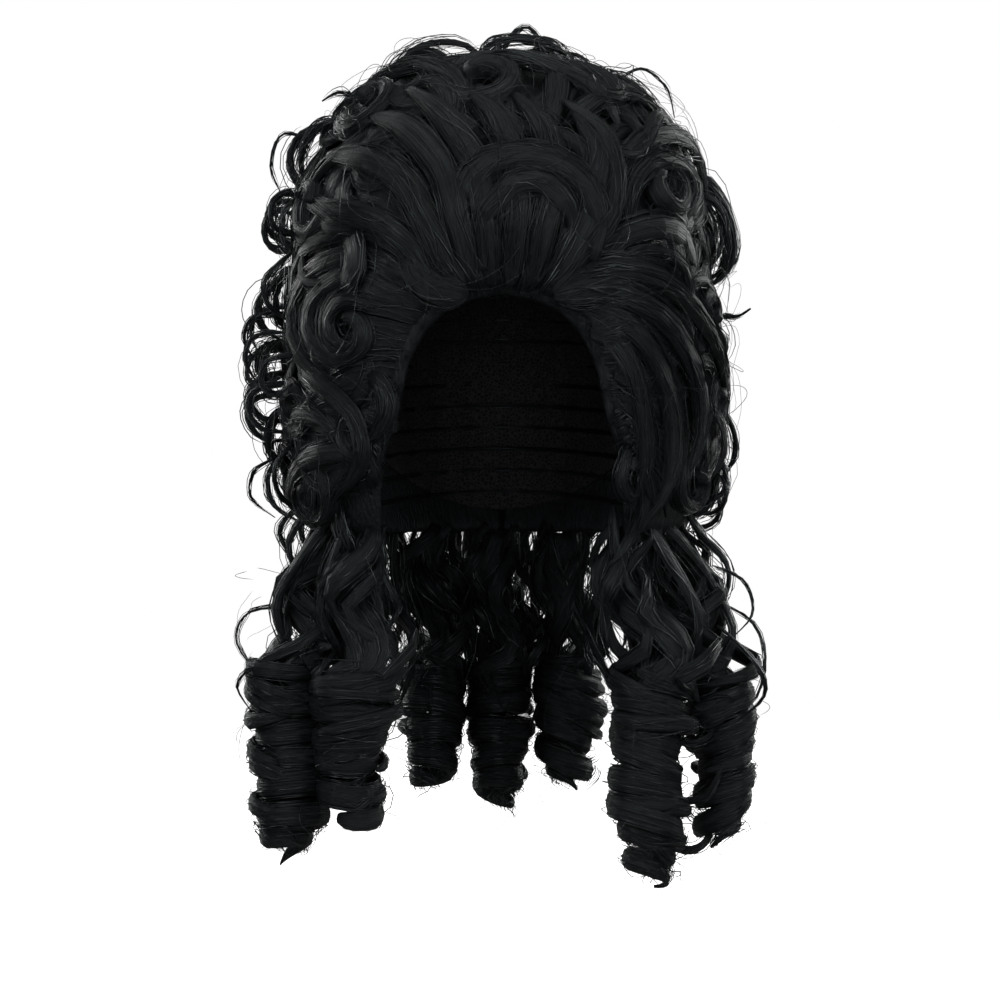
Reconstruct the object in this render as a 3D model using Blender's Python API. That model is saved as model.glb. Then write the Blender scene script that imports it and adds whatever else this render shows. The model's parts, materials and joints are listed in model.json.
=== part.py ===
"""A tall black beehive wig with piled curls and long hanging ringlets.

Metres, +Z up. The wearer faces -Y, and left and right are as seen from the front: left is -X.
The origin is the inside top of the cap, where the crown of the head touches it.
"""

import bisect
import math

import bpy
import bmesh
from mathutils import Vector

# The head that the cap is made for
HEAD_WIDTH = 0.150
HEAD_LENGTH = 0.190
HEAD_DOME = 0.085  # from the crown down to the widest level
NAPE_TAPER = 0.15  # share of its girth that the head loses from the widest level to the mass's foot

# Wefted cap
CAP_WALL = 0.002
CAP_FRONT_DROP = 0.041  # the cap's edge below the crown, at the forehead
CAP_NAPE_DROP = 0.148  # the same at the nape
SEAT_GAP = 0.0003  # what neighbouring pieces leave between them

# Teased hair mass over the cap
MASS_WIDTH = 0.206
MASS_FRONT = 0.100  # its reach before the middle of the head
MASS_BACK = 0.112  # its reach behind the middle of the head
MASS_TOP = 0.078  # its top above the crown
MASS_DROP = 0.160  # its foot below the crown
FACE_WIDTH = 0.120  # the opening for the face, at the cheeks
HAIRLINE_DROP = 0.043  # top of that opening below the crown

# Locks of the pile
CURL_RADIUS = 0.030  # the largest flat curl
CURL_BAND = 0.0165  # the lock's width as such a curl begins
CURL_HEIGHT = 0.013  # how far the lock stands off the mass
CURL_TAIL = 0.050  # the longest run-in before a curl
LOOP_RISE = 0.019  # how far the highest loop stands off the mass
LOOP_BAND = 0.014
LOOP_THICKNESS = 0.007
WAVE_BAND = 0.018
WAVE_HEIGHT = 0.010

# Hanging ringlets
RINGLET_RADIUS = 0.0190  # outside of the wound part
RINGLET_BAND = 0.0115  # the wound lock's width along the ringlet
WAVED_BAND = 0.022  # its width where it hangs in a loose wave
RINGLET_THICKNESS = 0.006
WAVED_THICKNESS = 0.010
RINGLET_PITCH = 0.0135  # from one turn of the wound part to the next
RINGLET_LENGTH = 0.168  # from the mass's foot to the tip of the longest
WAVED_LENGTH = 0.072  # how much of a ringlet hangs in a loose wave before it is wound
WAVE_SWING = 0.016  # how far the loose wave swings to each side

# Facets
MASS_COLUMNS = 32
MASS_STEPS_A_ROW = 2
CAP_COLUMNS = 26
CAP_ROWS = 7
SKIRT_ROWS = 5
CURL_STEPS_A_TURN = 12
TAIL_STEPS = 4
LOOP_STEPS = 10
WAVE_STEPS = 12
RINGLET_STEPS_A_TURN = 8
PROFILE_SAMPLES = 240

# Outline of the mass, top to foot. Heights are shares of MASS_TOP above the crown and of
# MASS_DROP below it, the others are shares of half MASS_WIDTH, MASS_FRONT and MASS_BACK.
MASS_PROFILE = (
    # height, width, front, back
    (1.00, 0.00, 0.00, 0.00),
    (0.94, 0.38, 0.34, 0.37),
    (0.78, 0.62, 0.57, 0.60),
    (0.50, 0.81, 0.77, 0.79),
    (0.15, 0.92, 0.91, 0.91),
    (-0.12, 0.97, 0.99, 0.98),
    (-0.35, 1.00, 1.00, 1.00),
    (-0.60, 1.01, 0.96, 0.98),
    (-0.84, 0.98, 0.88, 0.94),
    (-1.00, 0.88, 0.77, 0.83),
)

# Edge of the face opening: depth is a share of the way from the hairline to the mass's foot,
# half_width a share of half FACE_WIDTH.
FACE_ARCH = (
    # depth, half_width
    (0.00, 0.00),
    (0.02, 0.25),
    (0.07, 0.47),
    (0.15, 0.62),
    (0.24, 0.72),
    (0.33, 0.78),
    (0.50, 0.84),
    (0.64, 0.95),
    (0.83, 1.00),
    (1.30, 1.00),
)

# Flat curls: a lock runs in along a tail and winds inwards on the mass. Azimuth 0 is the front
# and 90 the right side. Heights are shares as in MASS_PROFILE, radius is a share of CURL_RADIUS
# and tail of CURL_TAIL. Start is where the tail meets the curl, in degrees anticlockwise from
# the right as seen from outside. Hand is 1 for a curl that winds anticlockwise, or -1.
FLAT_CURLS = (
    # name, azimuth, height, radius, start, hand, tail
    ("temple_roll_left", -42, -0.37, 1.00, 60, 1, 0.36),
    ("temple_curl_left", -40, -0.71, 0.64, 60, 1, 0.30),
    ("cheek_curl_left", -63, -0.87, 0.70, 20, -1, 0.30),
    ("side_curl_left_1", -71, -0.29, 0.58, 250, 1, 0.40),
    ("side_curl_left_2", -70, -0.59, 0.70, 330, -1, 0.40),
    ("side_curl_left_3", -67, 0.04, 0.84, 330, -1, 0.50),
    ("crown_swirl_left", -34, 0.23, 0.94, 60, 1, 0.60),
    ("crown_curl_left", -56, 0.66, 0.84, 210, 1, 0.40),
    ("crown_curl_front", -8, 0.78, 0.94, 200, 1, 0.60),
    ("crown_curl_right", 40, 0.73, 0.88, 150, -1, 0.60),
    ("crown_swirl_right", 51, 0.13, 1.00, 150, -1, 0.40),
    ("pompadour_swirl", 7, -0.02, 1.00, 190, -1, 0.52),
    ("temple_curl_right", 37, -0.80, 0.36, 60, 1, 0.30),
    ("cheek_curl_right", 64, -0.84, 0.68, 160, 1, 0.30),
    ("side_curl_right_1", 75, -0.31, 0.54, 150, -1, 0.30),
    ("side_curl_right_2", 77, -0.59, 0.68, 210, 1, 0.40),
    ("top_curl_back", 185, 0.93, 0.80, 210, 1, 0.50),
)

# Rows of plain flat curls round the sides and back, evenly spaced from first to last azimuth
CURL_ROWS = (
    # name, count, first, last, height, radius, start, hand, tail
    ("crown_back_curl", 3, 119, 236, 0.56, 0.98, 330, -1, 1.00),
    ("upper_back_curl", 5, 107, 243, -0.04, 0.92, 330, -1, 0.84),
    ("middle_back_curl", 5, 109, 252, -0.42, 0.94, 210, 1, 1.00),
    ("nape_curl", 5, 108, 246, -0.81, 0.90, 330, -1, 0.90),
)

# Loops that stand up between two places of the mass, given by azimuth and height as above.
# Rise is a share of LOOP_RISE. Swell is how far the loop leans out past each foot, as a share
# of the distance between its feet.
LOOPS = (
    # name, azimuth 1, height 1, azimuth 2, height 2, rise, swell
    ("top_loop_left", -96, 0.83, -70, 0.975, 0.62, 0.10),
    ("top_loop_centre", -40, 0.995, 96, 0.965, 0.72, 0.24),
    ("top_loop_right", 100, 0.91, 78, 0.60, 0.40, 0.12),
    ("side_loop_left_1", -84, 0.60, -89, 0.21, 0.75, 0.14),
    ("side_loop_left_2", -88, 0.11, -84, -0.10, 0.72, 0.20),
    ("side_loop_left_3", -85, -0.17, -90, -0.34, 0.68, 0.20),
    ("side_loop_left_4", -90, -0.41, -85, -0.55, 0.92, 0.30),
    ("side_loop_left_5", -86, -0.61, -89, -0.78, 0.80, 0.20),
    ("side_loop_right_1", 82, 0.48, 91, 0.27, 0.30, 0.14),
    ("side_loop_right_2", 82, 0.18, 93, -0.22, 0.80, 0.10),
    ("side_loop_right_3", 93, -0.76, 84, -0.93, 0.40, 0.20),
)

# Smooth locks swept over the mass, each through four places of azimuth and height
WAVES = (
    # name, places
    ("front_sweep_right_1", ((14, -0.275), (30, -0.250), (46, -0.255), (62, -0.31))),
    ("front_sweep_right_2", ((24, -0.390), (36, -0.375), (48, -0.395), (60, -0.47))),
    ("front_sweep_right_3", ((31, -0.510), (40, -0.510), (49, -0.545), (57, -0.63))),
    ("front_sweep_left", ((-9, -0.275), (-20, -0.24), (-24, -0.13), (-20, 0.00))),
)

# Hanging ringlets. Root is the azimuth where a ringlet leaves the mass's foot. Across and
# behind are where its wound part hangs, as shares of half MASS_WIDTH and of MASS_BACK (or of
# MASS_FRONT, if negative). Length is a share of RINGLET_LENGTH, radius of RINGLET_RADIUS, and
# swing of WAVE_SWING: how far the loose wave first swings to the right, or left if negative.
RINGLETS = (
    # name, root, across, behind, length, radius, swing, hand
    ("ringlet_left_outer", -82, -1.05, -0.22, 0.97, 1.00, -1.00, 1),
    ("ringlet_left_inner", -54, -0.71, -0.50, 0.86, 0.97, -0.60, -1),
    ("ringlet_right_inner", 54, 0.73, -0.50, 1.03, 0.97, -0.80, 1),
    ("ringlet_right_outer", 82, 1.05, -0.22, 0.92, 0.84, 0.70, -1),
    ("ringlet_back_left", 206, -0.36, 0.80, 0.80, 0.84, -0.60, 1),
    ("ringlet_back_middle", 180, 0.00, 0.86, 0.86, 0.84, -0.60, -1),
    ("ringlet_back_right", 154, 0.36, 0.80, 0.80, 0.84, -0.60, 1),
)

ROOT_SHARE = 0.6  # a ringlet's section at its root, as a share of the full one

CAP_COLOUR = (0.012, 0.012, 0.013)
HAIR_COLOUR = (0.008, 0.009, 0.011)


def clear_scene():
    for obj in list(bpy.data.objects):
        bpy.data.objects.remove(obj)


def material(name, colour, roughness):
    made = bpy.data.materials.new(name)
    made.use_nodes = True
    shader = made.node_tree.nodes["Principled BSDF"]
    shader.inputs["Base Color"].default_value = (*colour, 1.0)
    shader.inputs["Roughness"].default_value = roughness
    shader.inputs["Metallic"].default_value = 0.0
    return made


def add_object(name, points, faces, colour=HAIR_COLOUR, roughness=0.38):
    """An object from points and faces, with its normals outwards and round parts smooth."""
    mesh = bpy.data.meshes.new(name)
    mesh.from_pydata([tuple(p) for p in points], [], faces)
    shape = bmesh.new()
    shape.from_mesh(mesh)
    bmesh.ops.recalc_face_normals(shape, faces=shape.faces)
    shape.to_mesh(mesh)
    shape.free()
    mesh.shade_smooth()
    mesh.set_sharp_from_angle(angle=math.radians(70))
    obj = bpy.data.objects.new(name, mesh)
    bpy.context.scene.collection.objects.link(obj)
    mesh.materials.append(material(name, colour, roughness))
    return obj


def catmull_rom(rows, at):
    """The smooth curve through the rows, each a tuple of numbers, at a place from 0 to 1."""
    place = min(max(at, 0.0), 1.0) * (len(rows) - 1)
    i = min(int(place), len(rows) - 2)
    t = place - i
    last = len(rows) - 1
    # A table that starts on the axis carries on to the other side of it.
    before = (rows[1][0], *(-v for v in rows[1][1:])) if i == 0 and rows[0][1] == 0 else rows[max(i - 1, 0)]
    near, far, after = rows[i], rows[i + 1], rows[min(i + 2, last)]
    return tuple(
        0.5 * (2 * q + (r - p) * t + (2 * p - 5 * q + 4 * r - s) * t * t + (3 * q - p - 3 * r + s) * t ** 3)
        for p, q, r, s in zip(before, near, far, after)
    )


def height_of(share):
    return share * (MASS_TOP if share > 0 else MASS_DROP)


def mass_row(at):
    """Height, half width, front reach and back reach of the mass, from its top to its foot."""
    height, width, front, back = catmull_rom(MASS_PROFILE, at)
    return height_of(height), width * MASS_WIDTH / 2, front * MASS_FRONT, back * MASS_BACK


PROFILE = sorted(mass_row(i / PROFILE_SAMPLES) for i in range(PROFILE_SAMPLES + 1))
PROFILE_HEIGHTS = [row[0] for row in PROFILE]


def section_at(z):
    """Half width, front reach and back reach of the mass at a height. Below its foot it runs on."""
    i = bisect.bisect_right(PROFILE_HEIGHTS, z)
    if i == 0:
        return PROFILE[0][1:]
    if i == len(PROFILE):
        return (0.0, 0.0, 0.0)
    low, high = PROFILE[i - 1], PROFILE[i]
    t = (z - low[0]) / max(high[0] - low[0], 1e-9)
    return tuple(a + (b - a) * t for a, b in zip(low[1:], high[1:]))


def ring_point(azimuth, z, half_width, front, back):
    reach = front if math.cos(azimuth) > 0 else back
    return Vector((half_width * math.sin(azimuth), -reach * math.cos(azimuth), z))


def on_mass(azimuth_deg, height):
    z = height_of(height)
    return ring_point(math.radians(azimuth_deg), z, *section_at(z))


MASS_MIDDLE = Vector((0, 0, -0.2 * MASS_DROP))


def dropped(point):
    """The point of the mass's surface that lies in this point's direction from its middle."""
    ray = (Vector(point) - MASS_MIDDLE).normalized()
    low, high = 0.0, 3 * (MASS_TOP + MASS_DROP)
    for _ in range(40):
        reach = (low + high) / 2
        x, y, z = MASS_MIDDLE + ray * reach
        half_width, front, back = section_at(z)
        depth = front if y < 0 else back
        inside = half_width > 1e-9 and (x / half_width) ** 2 + (y / depth) ** 2 < 1
        low, high = (reach, high) if inside else (low, reach)
    return MASS_MIDDLE + ray * low


def tangents(point):
    """Right, up and outwards on the mass at a point of its surface, as seen from outside."""
    ray = (point - MASS_MIDDLE).normalized()
    right = Vector((0, 0, 1)).cross(ray)
    right = right.normalized() if right.length > 0.05 else Vector((1, 0, 0))
    up = ray.cross(right)
    step = 0.002
    along = dropped(point + right * step) - dropped(point - right * step)
    above = dropped(point + up * step) - dropped(point - up * step)
    out = along.cross(above).normalized()
    up = out.cross(right).normalized()
    return up.cross(out), up, out


def lock_section(half_width, half_height):
    """Corners of a lock's section, which is wider at the bottom than on top."""
    return [(a * half_width, b * half_height) for a, b in ((-1, -1), (1, -1), (0.5, 1), (-0.5, 1))]


def sweep(name, stations):
    """A closed lock through stations of (centre, across, outwards, section corners)."""
    points = []
    for centre, across, out, section in stations:
        points += [centre + across * a + out * b for a, b in section]
    sides = len(stations[0][3])
    faces = [tuple(range(sides)), tuple(range(len(points) - sides, len(points)))]
    for i in range(len(stations) - 1):
        for j in range(sides):
            k = (j + 1) % sides
            faces.append((i * sides + j, i * sides + k, (i + 1) * sides + k, (i + 1) * sides + j))
    return add_object(name, points, faces)


def eased(t):
    t = min(max(t, 0.0), 1.0)
    return t * t * (3 - 2 * t)


def fullness(t, root, tip):
    """Share of the full section along a lock: it swells from its root and thins to its tip."""
    swell = min(1.0, root + (1 - root) * t / 0.15)
    thin = min(1.0, tip + (1 - tip) * (1 - t) / 0.30)
    return min(swell, thin)


def surface_lock(name, places, widths, heights):
    """A lock that lies on the mass along surface points, with its width and height at each."""
    floors = [dropped(place) for place in places]
    last = len(places) - 1
    stations = []
    for i, (floor, width, height) in enumerate(zip(floors, widths, heights)):
        out = tangents(floor)[2]
        ahead = floors[min(i + 1, last)] - floors[max(i - 1, 0)]
        across = ahead.cross(out).normalized()
        centre = floor + out * (SEAT_GAP + height / 2)
        stations.append((centre, across, out, lock_section(width / 2, height / 2)))
    return sweep(name, stations)


def flat_curl(name, azimuth, height, radius, start, hand, tail):
    """A lock that runs in along its tail and then winds inwards, lying on the mass."""
    middle = dropped(on_mass(azimuth, height))
    right, up, _ = tangents(middle)
    band = CURL_BAND * (0.4 + 0.6 * radius)
    outer = radius * CURL_RADIUS - band / 2
    pitch = 0.95 * band
    turns = (outer - 0.3 * band) / pitch
    tail_length = tail * CURL_TAIL
    steps = math.ceil(turns * CURL_STEPS_A_TURN)
    places, widths, heights = [], [], []
    for i in range(-TAIL_STEPS, steps + 1):
        run_in = max(0.0, -i / TAIL_STEPS)
        t = max(0.0, i / steps)
        angle = math.radians(start) + hand * 2 * math.pi * turns * t
        away = right * math.cos(angle) + up * math.sin(angle)
        along = (up * math.cos(angle) - right * math.sin(angle)) * hand
        reach = outer - pitch * turns * t
        bend = 0.16 * tail_length * run_in ** 2
        places.append(middle + away * (reach + bend) - along * tail_length * run_in)
        full = (1 - 0.45 * run_in ** 2) * (1 - 0.5 * t)
        widths.append(band * full)
        heights.append(CURL_HEIGHT * (0.55 + 0.45 * radius) * (1 - 0.4 * run_in) * (0.9 + 0.3 * t))
    return surface_lock(name, places, widths, heights)


def standing_loop(name, azimuth_1, height_1, azimuth_2, height_2, rise, swell):
    """A lock that leaves the mass at one foot, arches over and comes back to it at the other."""
    feet = dropped(on_mass(azimuth_1, height_1)), dropped(on_mass(azimuth_2, height_2))
    span = feet[1] - feet[0]
    top = tangents(dropped(feet[0] + span / 2))[2]
    across = span.cross(top).normalized()
    path, outs = [], []
    for i in range(LOOP_STEPS + 1):
        t = i / LOOP_STEPS
        along = t - swell * math.sin(2 * math.pi * t)
        over = min(max(along, 0.0), 1.0)
        floor = dropped(feet[0] + span * over)
        outs.append(tangents(floor)[2])
        lift = rise * LOOP_RISE * math.sin(math.pi * t) ** 0.8
        path.append(floor + span * (along - over) + top * lift + outs[-1] * SEAT_GAP)
    stations = []
    for i, centre in enumerate(path):
        if i in (0, LOOP_STEPS):
            # Each end of the lock lies flat on the mass.
            ahead = outs[i] if i == 0 else -outs[i]
        else:
            ahead = path[i + 1] - path[i - 1]
        side = (across - ahead.normalized() * across.dot(ahead.normalized())).normalized()
        away = side.cross(ahead).normalized()
        full = fullness(i / LOOP_STEPS, 0.7, 0.5)
        stations.append((centre, side, away, lock_section(LOOP_BAND / 2 * full, LOOP_THICKNESS / 2 * full)))
    return sweep(name, stations)


def wave(name, places):
    """A smooth lock combed over the mass through the given places."""
    steps = 4 * (len(places) - 1)
    points = [on_mass(*catmull_rom(places, i / steps)) for i in range(steps + 1)]
    full = [fullness(i / steps, 0.7, 0.45) for i in range(steps + 1)]
    return surface_lock(name, points, [WAVE_BAND * f for f in full], [WAVE_HEIGHT * f for f in full])


def head_share(z):
    """Share of the head's full girth at a height."""
    above = z + HEAD_DOME
    if above > 0:
        return math.sqrt(max(0.0, 1 - (above / HEAD_DOME) ** 2))
    return 1 - NAPE_TAPER * (above / (MASS_DROP - HEAD_DOME)) ** 2


def head_point(azimuth, z, clear):
    """A point of the head's surface, moved outwards by a clearance."""
    top = HEAD_DOME + clear
    inner_z = (z + HEAD_DOME) / top * HEAD_DOME - HEAD_DOME if z > -HEAD_DOME else z
    share = head_share(inner_z)
    across = (HEAD_WIDTH / 2 + clear) * share
    along = (HEAD_LENGTH / 2 + clear) * share
    return Vector((across * math.sin(azimuth), -along * math.cos(azimuth), z))


def rim_height(azimuth):
    """Height of the cap's edge, from the forehead round to the nape."""
    round_to_nape = (1 - math.cos(azimuth)) / 2
    return -CAP_FRONT_DROP - (CAP_NAPE_DROP - CAP_FRONT_DROP) * round_to_nape


def cap_skin(clear):
    """Points of one skin of the cap: its top, then its rows from there down to the edge."""
    points = [Vector((0, 0, clear))]
    for row in range(1, CAP_ROWS + 1):
        for column in range(CAP_COLUMNS):
            azimuth = 2 * math.pi * column / CAP_COLUMNS
            lean = math.pi / 2 * row / CAP_ROWS
            z = clear + (rim_height(azimuth) - clear) * (1 - math.cos(lean)) ** 0.9
            points.append(head_point(azimuth, z, clear))
    return points


def skin_faces(first, flip):
    faces = []
    for row in range(CAP_ROWS):
        for column in range(CAP_COLUMNS):
            following = (column + 1) % CAP_COLUMNS
            low = first + 1 + row * CAP_COLUMNS
            if row == 0:
                face = (first, low + column, low + following)
            else:
                high = low - CAP_COLUMNS
                face = (high + column, low + column, low + following, high + following)
            faces.append(face[::-1] if flip else face)
    return faces


def wig_cap():
    """The wefted cap: a thin dome, cut from the forehead down to the nape."""
    inside, outside = cap_skin(0.0), cap_skin(CAP_WALL)
    count = len(inside)
    faces = skin_faces(0, True) + skin_faces(count, False)
    inner_edge = count - CAP_COLUMNS
    outer_edge = 2 * count - CAP_COLUMNS
    for column in range(CAP_COLUMNS):
        k = (column + 1) % CAP_COLUMNS
        faces.append((inner_edge + column, inner_edge + k, outer_edge + k, outer_edge + column))
    return add_object("wig_cap", inside + outside, faces, CAP_COLOUR, 0.8)


def stacked(name, rings, top=None):
    """A closed solid through rings of points, with a point on top or a flat end there."""
    columns = len(rings[0])
    points = [p for ring in rings for p in ring]
    faces = [tuple(range(len(points) - columns, len(points)))]
    for i in range(len(rings) - 1):
        for j in range(columns):
            k = (j + 1) % columns
            a, b = i * columns, (i + 1) * columns
            faces.append((a + j, a + k, b + k, b + j))
    if top is None:
        faces.append(tuple(range(columns)))
    else:
        points.append(top)
        faces += [(len(points) - 1, j, (j + 1) % columns) for j in range(columns)]
    return add_object(name, points, faces)


def round_azimuths(count):
    return [2 * math.pi * i / count for i in range(count)]


def cut(obj, cutter):
    """Takes the cutter's shape out of an object."""
    cutter.hide_render = True
    cutter.display_type = "WIRE"
    tool = obj.modifiers.new("cut " + cutter.name, "BOOLEAN")
    tool.operation = "DIFFERENCE"
    tool.object = cutter


def head_space():
    """Room for the head and the cap: the cap's own outer skin, carried on past the mass's foot."""
    clear = CAP_WALL + SEAT_GAP
    foot = -1.25 * MASS_DROP
    skin = cap_skin(clear)
    top, edge = skin[0], skin[-CAP_COLUMNS:]
    rings = [skin[1 + i * CAP_COLUMNS : 1 + (i + 1) * CAP_COLUMNS] for i in range(CAP_ROWS)]
    for i in range(1, SKIRT_ROWS + 1):
        azimuths = round_azimuths(CAP_COLUMNS)
        heights = [point.z + (foot - point.z) * i / SKIRT_ROWS for point in edge]
        rings.append([head_point(a, z, clear) for a, z in zip(azimuths, heights)])
    return stacked("head_space", rings, top)


def face_space():
    """The arch through the front of the mass that leaves the face free."""
    fall = MASS_DROP - HAIRLINE_DROP
    side = [(w * FACE_WIDTH / 2, -HAIRLINE_DROP - d * fall) for d, w in FACE_ARCH]
    outline = side + [(-x, z) for x, z in reversed(side[1:])]
    ends = (-1.5 * MASS_FRONT, 0.0)
    rings = [[Vector((x, y, z)) for x, z in outline] for y in ends]
    return stacked("face_space", rings)


def hair_mass():
    """The teased hair that gives the beehive its form, hollow for the head and open at the face."""
    count = MASS_STEPS_A_ROW * (len(MASS_PROFILE) - 1)
    rows = [mass_row(i / count) for i in range(count + 1)]
    rings = [[ring_point(a, *row) for a in round_azimuths(MASS_COLUMNS)] for row in rows[1:]]
    mass = stacked("hair_mass", rings, Vector((0, 0, MASS_TOP)))
    cut(mass, head_space())
    cut(mass, face_space())
    return mass


def ringlet(name, root, across, behind, length, radius, swing, hand):
    """A ringlet: a root under the mass's foot, a loose wave, then wound turns to the tip."""
    azimuth = math.radians(root)
    foot = -MASS_DROP
    inner = head_point(azimuth, foot, CAP_WALL + SEAT_GAP)
    outer = ring_point(azimuth, foot, *section_at(foot))
    start = (inner + outer) / 2
    start.z = foot - SEAT_GAP
    hang = Vector((across * MASS_WIDTH / 2, behind * (MASS_BACK if behind > 0 else MASS_FRONT), start.z))
    full_length = length * RINGLET_LENGTH
    turns = (full_length - WAVED_LENGTH) / RINGLET_PITCH
    wound = radius * RINGLET_RADIUS - RINGLET_THICKNESS / 2
    facing = math.copysign(math.pi / 2, behind)
    steps = WAVE_STEPS + math.ceil(turns * RINGLET_STEPS_A_TURN)
    stations = []
    for i in range(steps + 1):
        in_wave = min(1.0, i / WAVE_STEPS)
        in_turns = max(0.0, (i - WAVE_STEPS) / (steps - WAVE_STEPS))
        fall = WAVED_LENGTH * in_wave + (full_length - WAVED_LENGTH) * in_turns
        angle = facing + hand * 2 * math.pi * turns * in_turns
        away = Vector((math.cos(angle), math.sin(angle), 0))
        reach = wound * eased((in_wave - 0.3) / 0.7) * (1 - 0.25 * in_turns ** 4)
        side = swing * WAVE_SWING * math.sin(2 * math.pi * in_wave ** 1.3)
        centre = start.lerp(hang, eased(in_wave)) + away * reach + Vector((side, 0, -fall))
        stations.append((centre, away, in_wave, in_turns))
    return wound_band(name, stations)


def wound_band(name, stations):
    """Sweeps a ringlet's flat band, which narrows from the wave into the winding."""
    centres = [s[0] for s in stations]
    sections = []
    for i, (centre, away, in_wave, in_turns) in enumerate(stations):
        ahead = centres[min(i + 1, len(centres) - 1)] - centres[max(i - 1, 0)]
        if i == 0:
            ahead = Vector((0, 0, -1))
        across = ahead.cross(away).normalized()
        out = across.cross(ahead).normalized()
        wound = eased((in_wave - 0.45) / 0.55)
        thin = 1 - 0.55 * in_turns ** 6
        full = thin * (ROOT_SHARE + (1 - ROOT_SHARE) * min(1.0, in_wave / 0.25))
        half_band = full * (WAVED_BAND + (RINGLET_BAND - WAVED_BAND) * wound) / 2
        half_thickness = full * (WAVED_THICKNESS + (RINGLET_THICKNESS - WAVED_THICKNESS) * wound) / 2
        corners = [(-1, -1), (1, -1), (1, 1), (-1, 1)]
        section = [(a * half_band, b * half_thickness) for a, b in corners]
        sections.append((centre, across, out, section))
    return sweep(name, sections)


def curl_rows():
    """The plain curls of the sides and back."""
    for name, count, first, last, *shape in CURL_ROWS:
        for i in range(count):
            azimuth = first + (last - first) * i / (count - 1)
            flat_curl(f"{name}_{i + 1}", azimuth, *shape)


def main():
    clear_scene()
    wig_cap()
    hair_mass()
    for row in FLAT_CURLS:
        flat_curl(*row)
    curl_rows()
    for row in LOOPS:
        standing_loop(*row)
    for row in WAVES:
        wave(*row)
    for row in RINGLETS:
        ringlet(*row)


main()
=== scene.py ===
import json
import math

import bmesh
import bpy
import numpy as np
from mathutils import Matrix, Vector

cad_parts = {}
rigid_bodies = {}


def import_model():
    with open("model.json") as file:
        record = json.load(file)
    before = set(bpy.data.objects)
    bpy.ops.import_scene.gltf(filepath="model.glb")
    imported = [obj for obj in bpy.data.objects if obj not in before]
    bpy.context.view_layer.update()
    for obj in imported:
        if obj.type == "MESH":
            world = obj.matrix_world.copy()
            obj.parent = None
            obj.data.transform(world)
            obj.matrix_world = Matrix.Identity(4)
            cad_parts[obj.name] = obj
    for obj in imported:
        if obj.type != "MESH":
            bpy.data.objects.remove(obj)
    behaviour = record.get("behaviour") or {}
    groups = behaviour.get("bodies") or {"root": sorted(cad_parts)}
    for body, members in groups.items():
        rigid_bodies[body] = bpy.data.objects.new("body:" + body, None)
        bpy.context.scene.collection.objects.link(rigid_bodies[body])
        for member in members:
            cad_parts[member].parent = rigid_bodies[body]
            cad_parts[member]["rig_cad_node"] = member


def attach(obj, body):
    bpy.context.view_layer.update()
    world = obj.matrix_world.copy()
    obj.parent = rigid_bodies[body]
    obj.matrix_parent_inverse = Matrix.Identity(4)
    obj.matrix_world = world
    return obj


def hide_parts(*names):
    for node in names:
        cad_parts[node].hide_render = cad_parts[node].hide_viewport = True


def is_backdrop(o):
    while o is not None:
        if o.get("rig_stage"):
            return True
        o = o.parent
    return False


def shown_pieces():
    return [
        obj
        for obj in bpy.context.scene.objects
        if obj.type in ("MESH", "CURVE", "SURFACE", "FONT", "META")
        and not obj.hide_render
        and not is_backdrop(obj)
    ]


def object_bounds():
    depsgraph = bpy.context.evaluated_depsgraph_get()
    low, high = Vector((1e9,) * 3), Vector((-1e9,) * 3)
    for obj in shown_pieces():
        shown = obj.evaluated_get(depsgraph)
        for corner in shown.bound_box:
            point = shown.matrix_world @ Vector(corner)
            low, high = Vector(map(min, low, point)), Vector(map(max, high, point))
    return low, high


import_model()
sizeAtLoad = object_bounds()

# The CAD's own sizes, in metres, which the pieces below follow
wig = {
    "massWidth": 0.206,
    "massFront": 0.100,
    "massBack": 0.112,
    "massTop": 0.078,
    "massDrop": 0.160,
    "faceWidth": 0.120,
    "hairlineDrop": 0.043,
    "headWidth": 0.150,
    "headLength": 0.190,
    "headDome": 0.085,
    "napeTaper": 0.15,
    "capWall": 0.002,
    "seatGap": 0.0003,
    "curlRadius": 0.030,
    "curlBand": 0.0165,
    "curlHeight": 0.013,
    "curlTail": 0.050,
    "loopRise": 0.019,
    "loopBand": 0.014,
    "loopThickness": 0.007,
    "sweepBand": 0.018,
    "sweepHeight": 0.010,
    "ringletRadius": 0.0190,
    "ringletBand": 0.0115,
    "wavedBand": 0.022,
    "ringletThickness": 0.006,
    "wavedThickness": 0.010,
    "ringletPitch": 0.0135,
    "ringletLength": 0.168,
    "wavedLength": 0.072,
    "waveSwing": 0.016,
    "rootShare": 0.6,
}

massProfile = np.array([
    # height, width, front, back
    (1.00, 0.00, 0.00, 0.00),
    (0.94, 0.38, 0.34, 0.37),
    (0.78, 0.62, 0.57, 0.60),
    (0.50, 0.81, 0.77, 0.79),
    (0.15, 0.92, 0.91, 0.91),
    (-0.12, 0.97, 0.99, 0.98),
    (-0.35, 1.00, 1.00, 1.00),
    (-0.60, 1.01, 0.96, 0.98),
    (-0.84, 0.98, 0.88, 0.94),
    (-1.00, 0.88, 0.77, 0.83),
])

faceArch = np.array([
    # depth, half width
    (0.00, 0.00),
    (0.02, 0.25),
    (0.07, 0.47),
    (0.15, 0.62),
    (0.24, 0.72),
    (0.33, 0.78),
    (0.50, 0.84),
    (0.64, 0.95),
    (0.83, 1.00),
    (1.30, 1.00),
])


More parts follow.
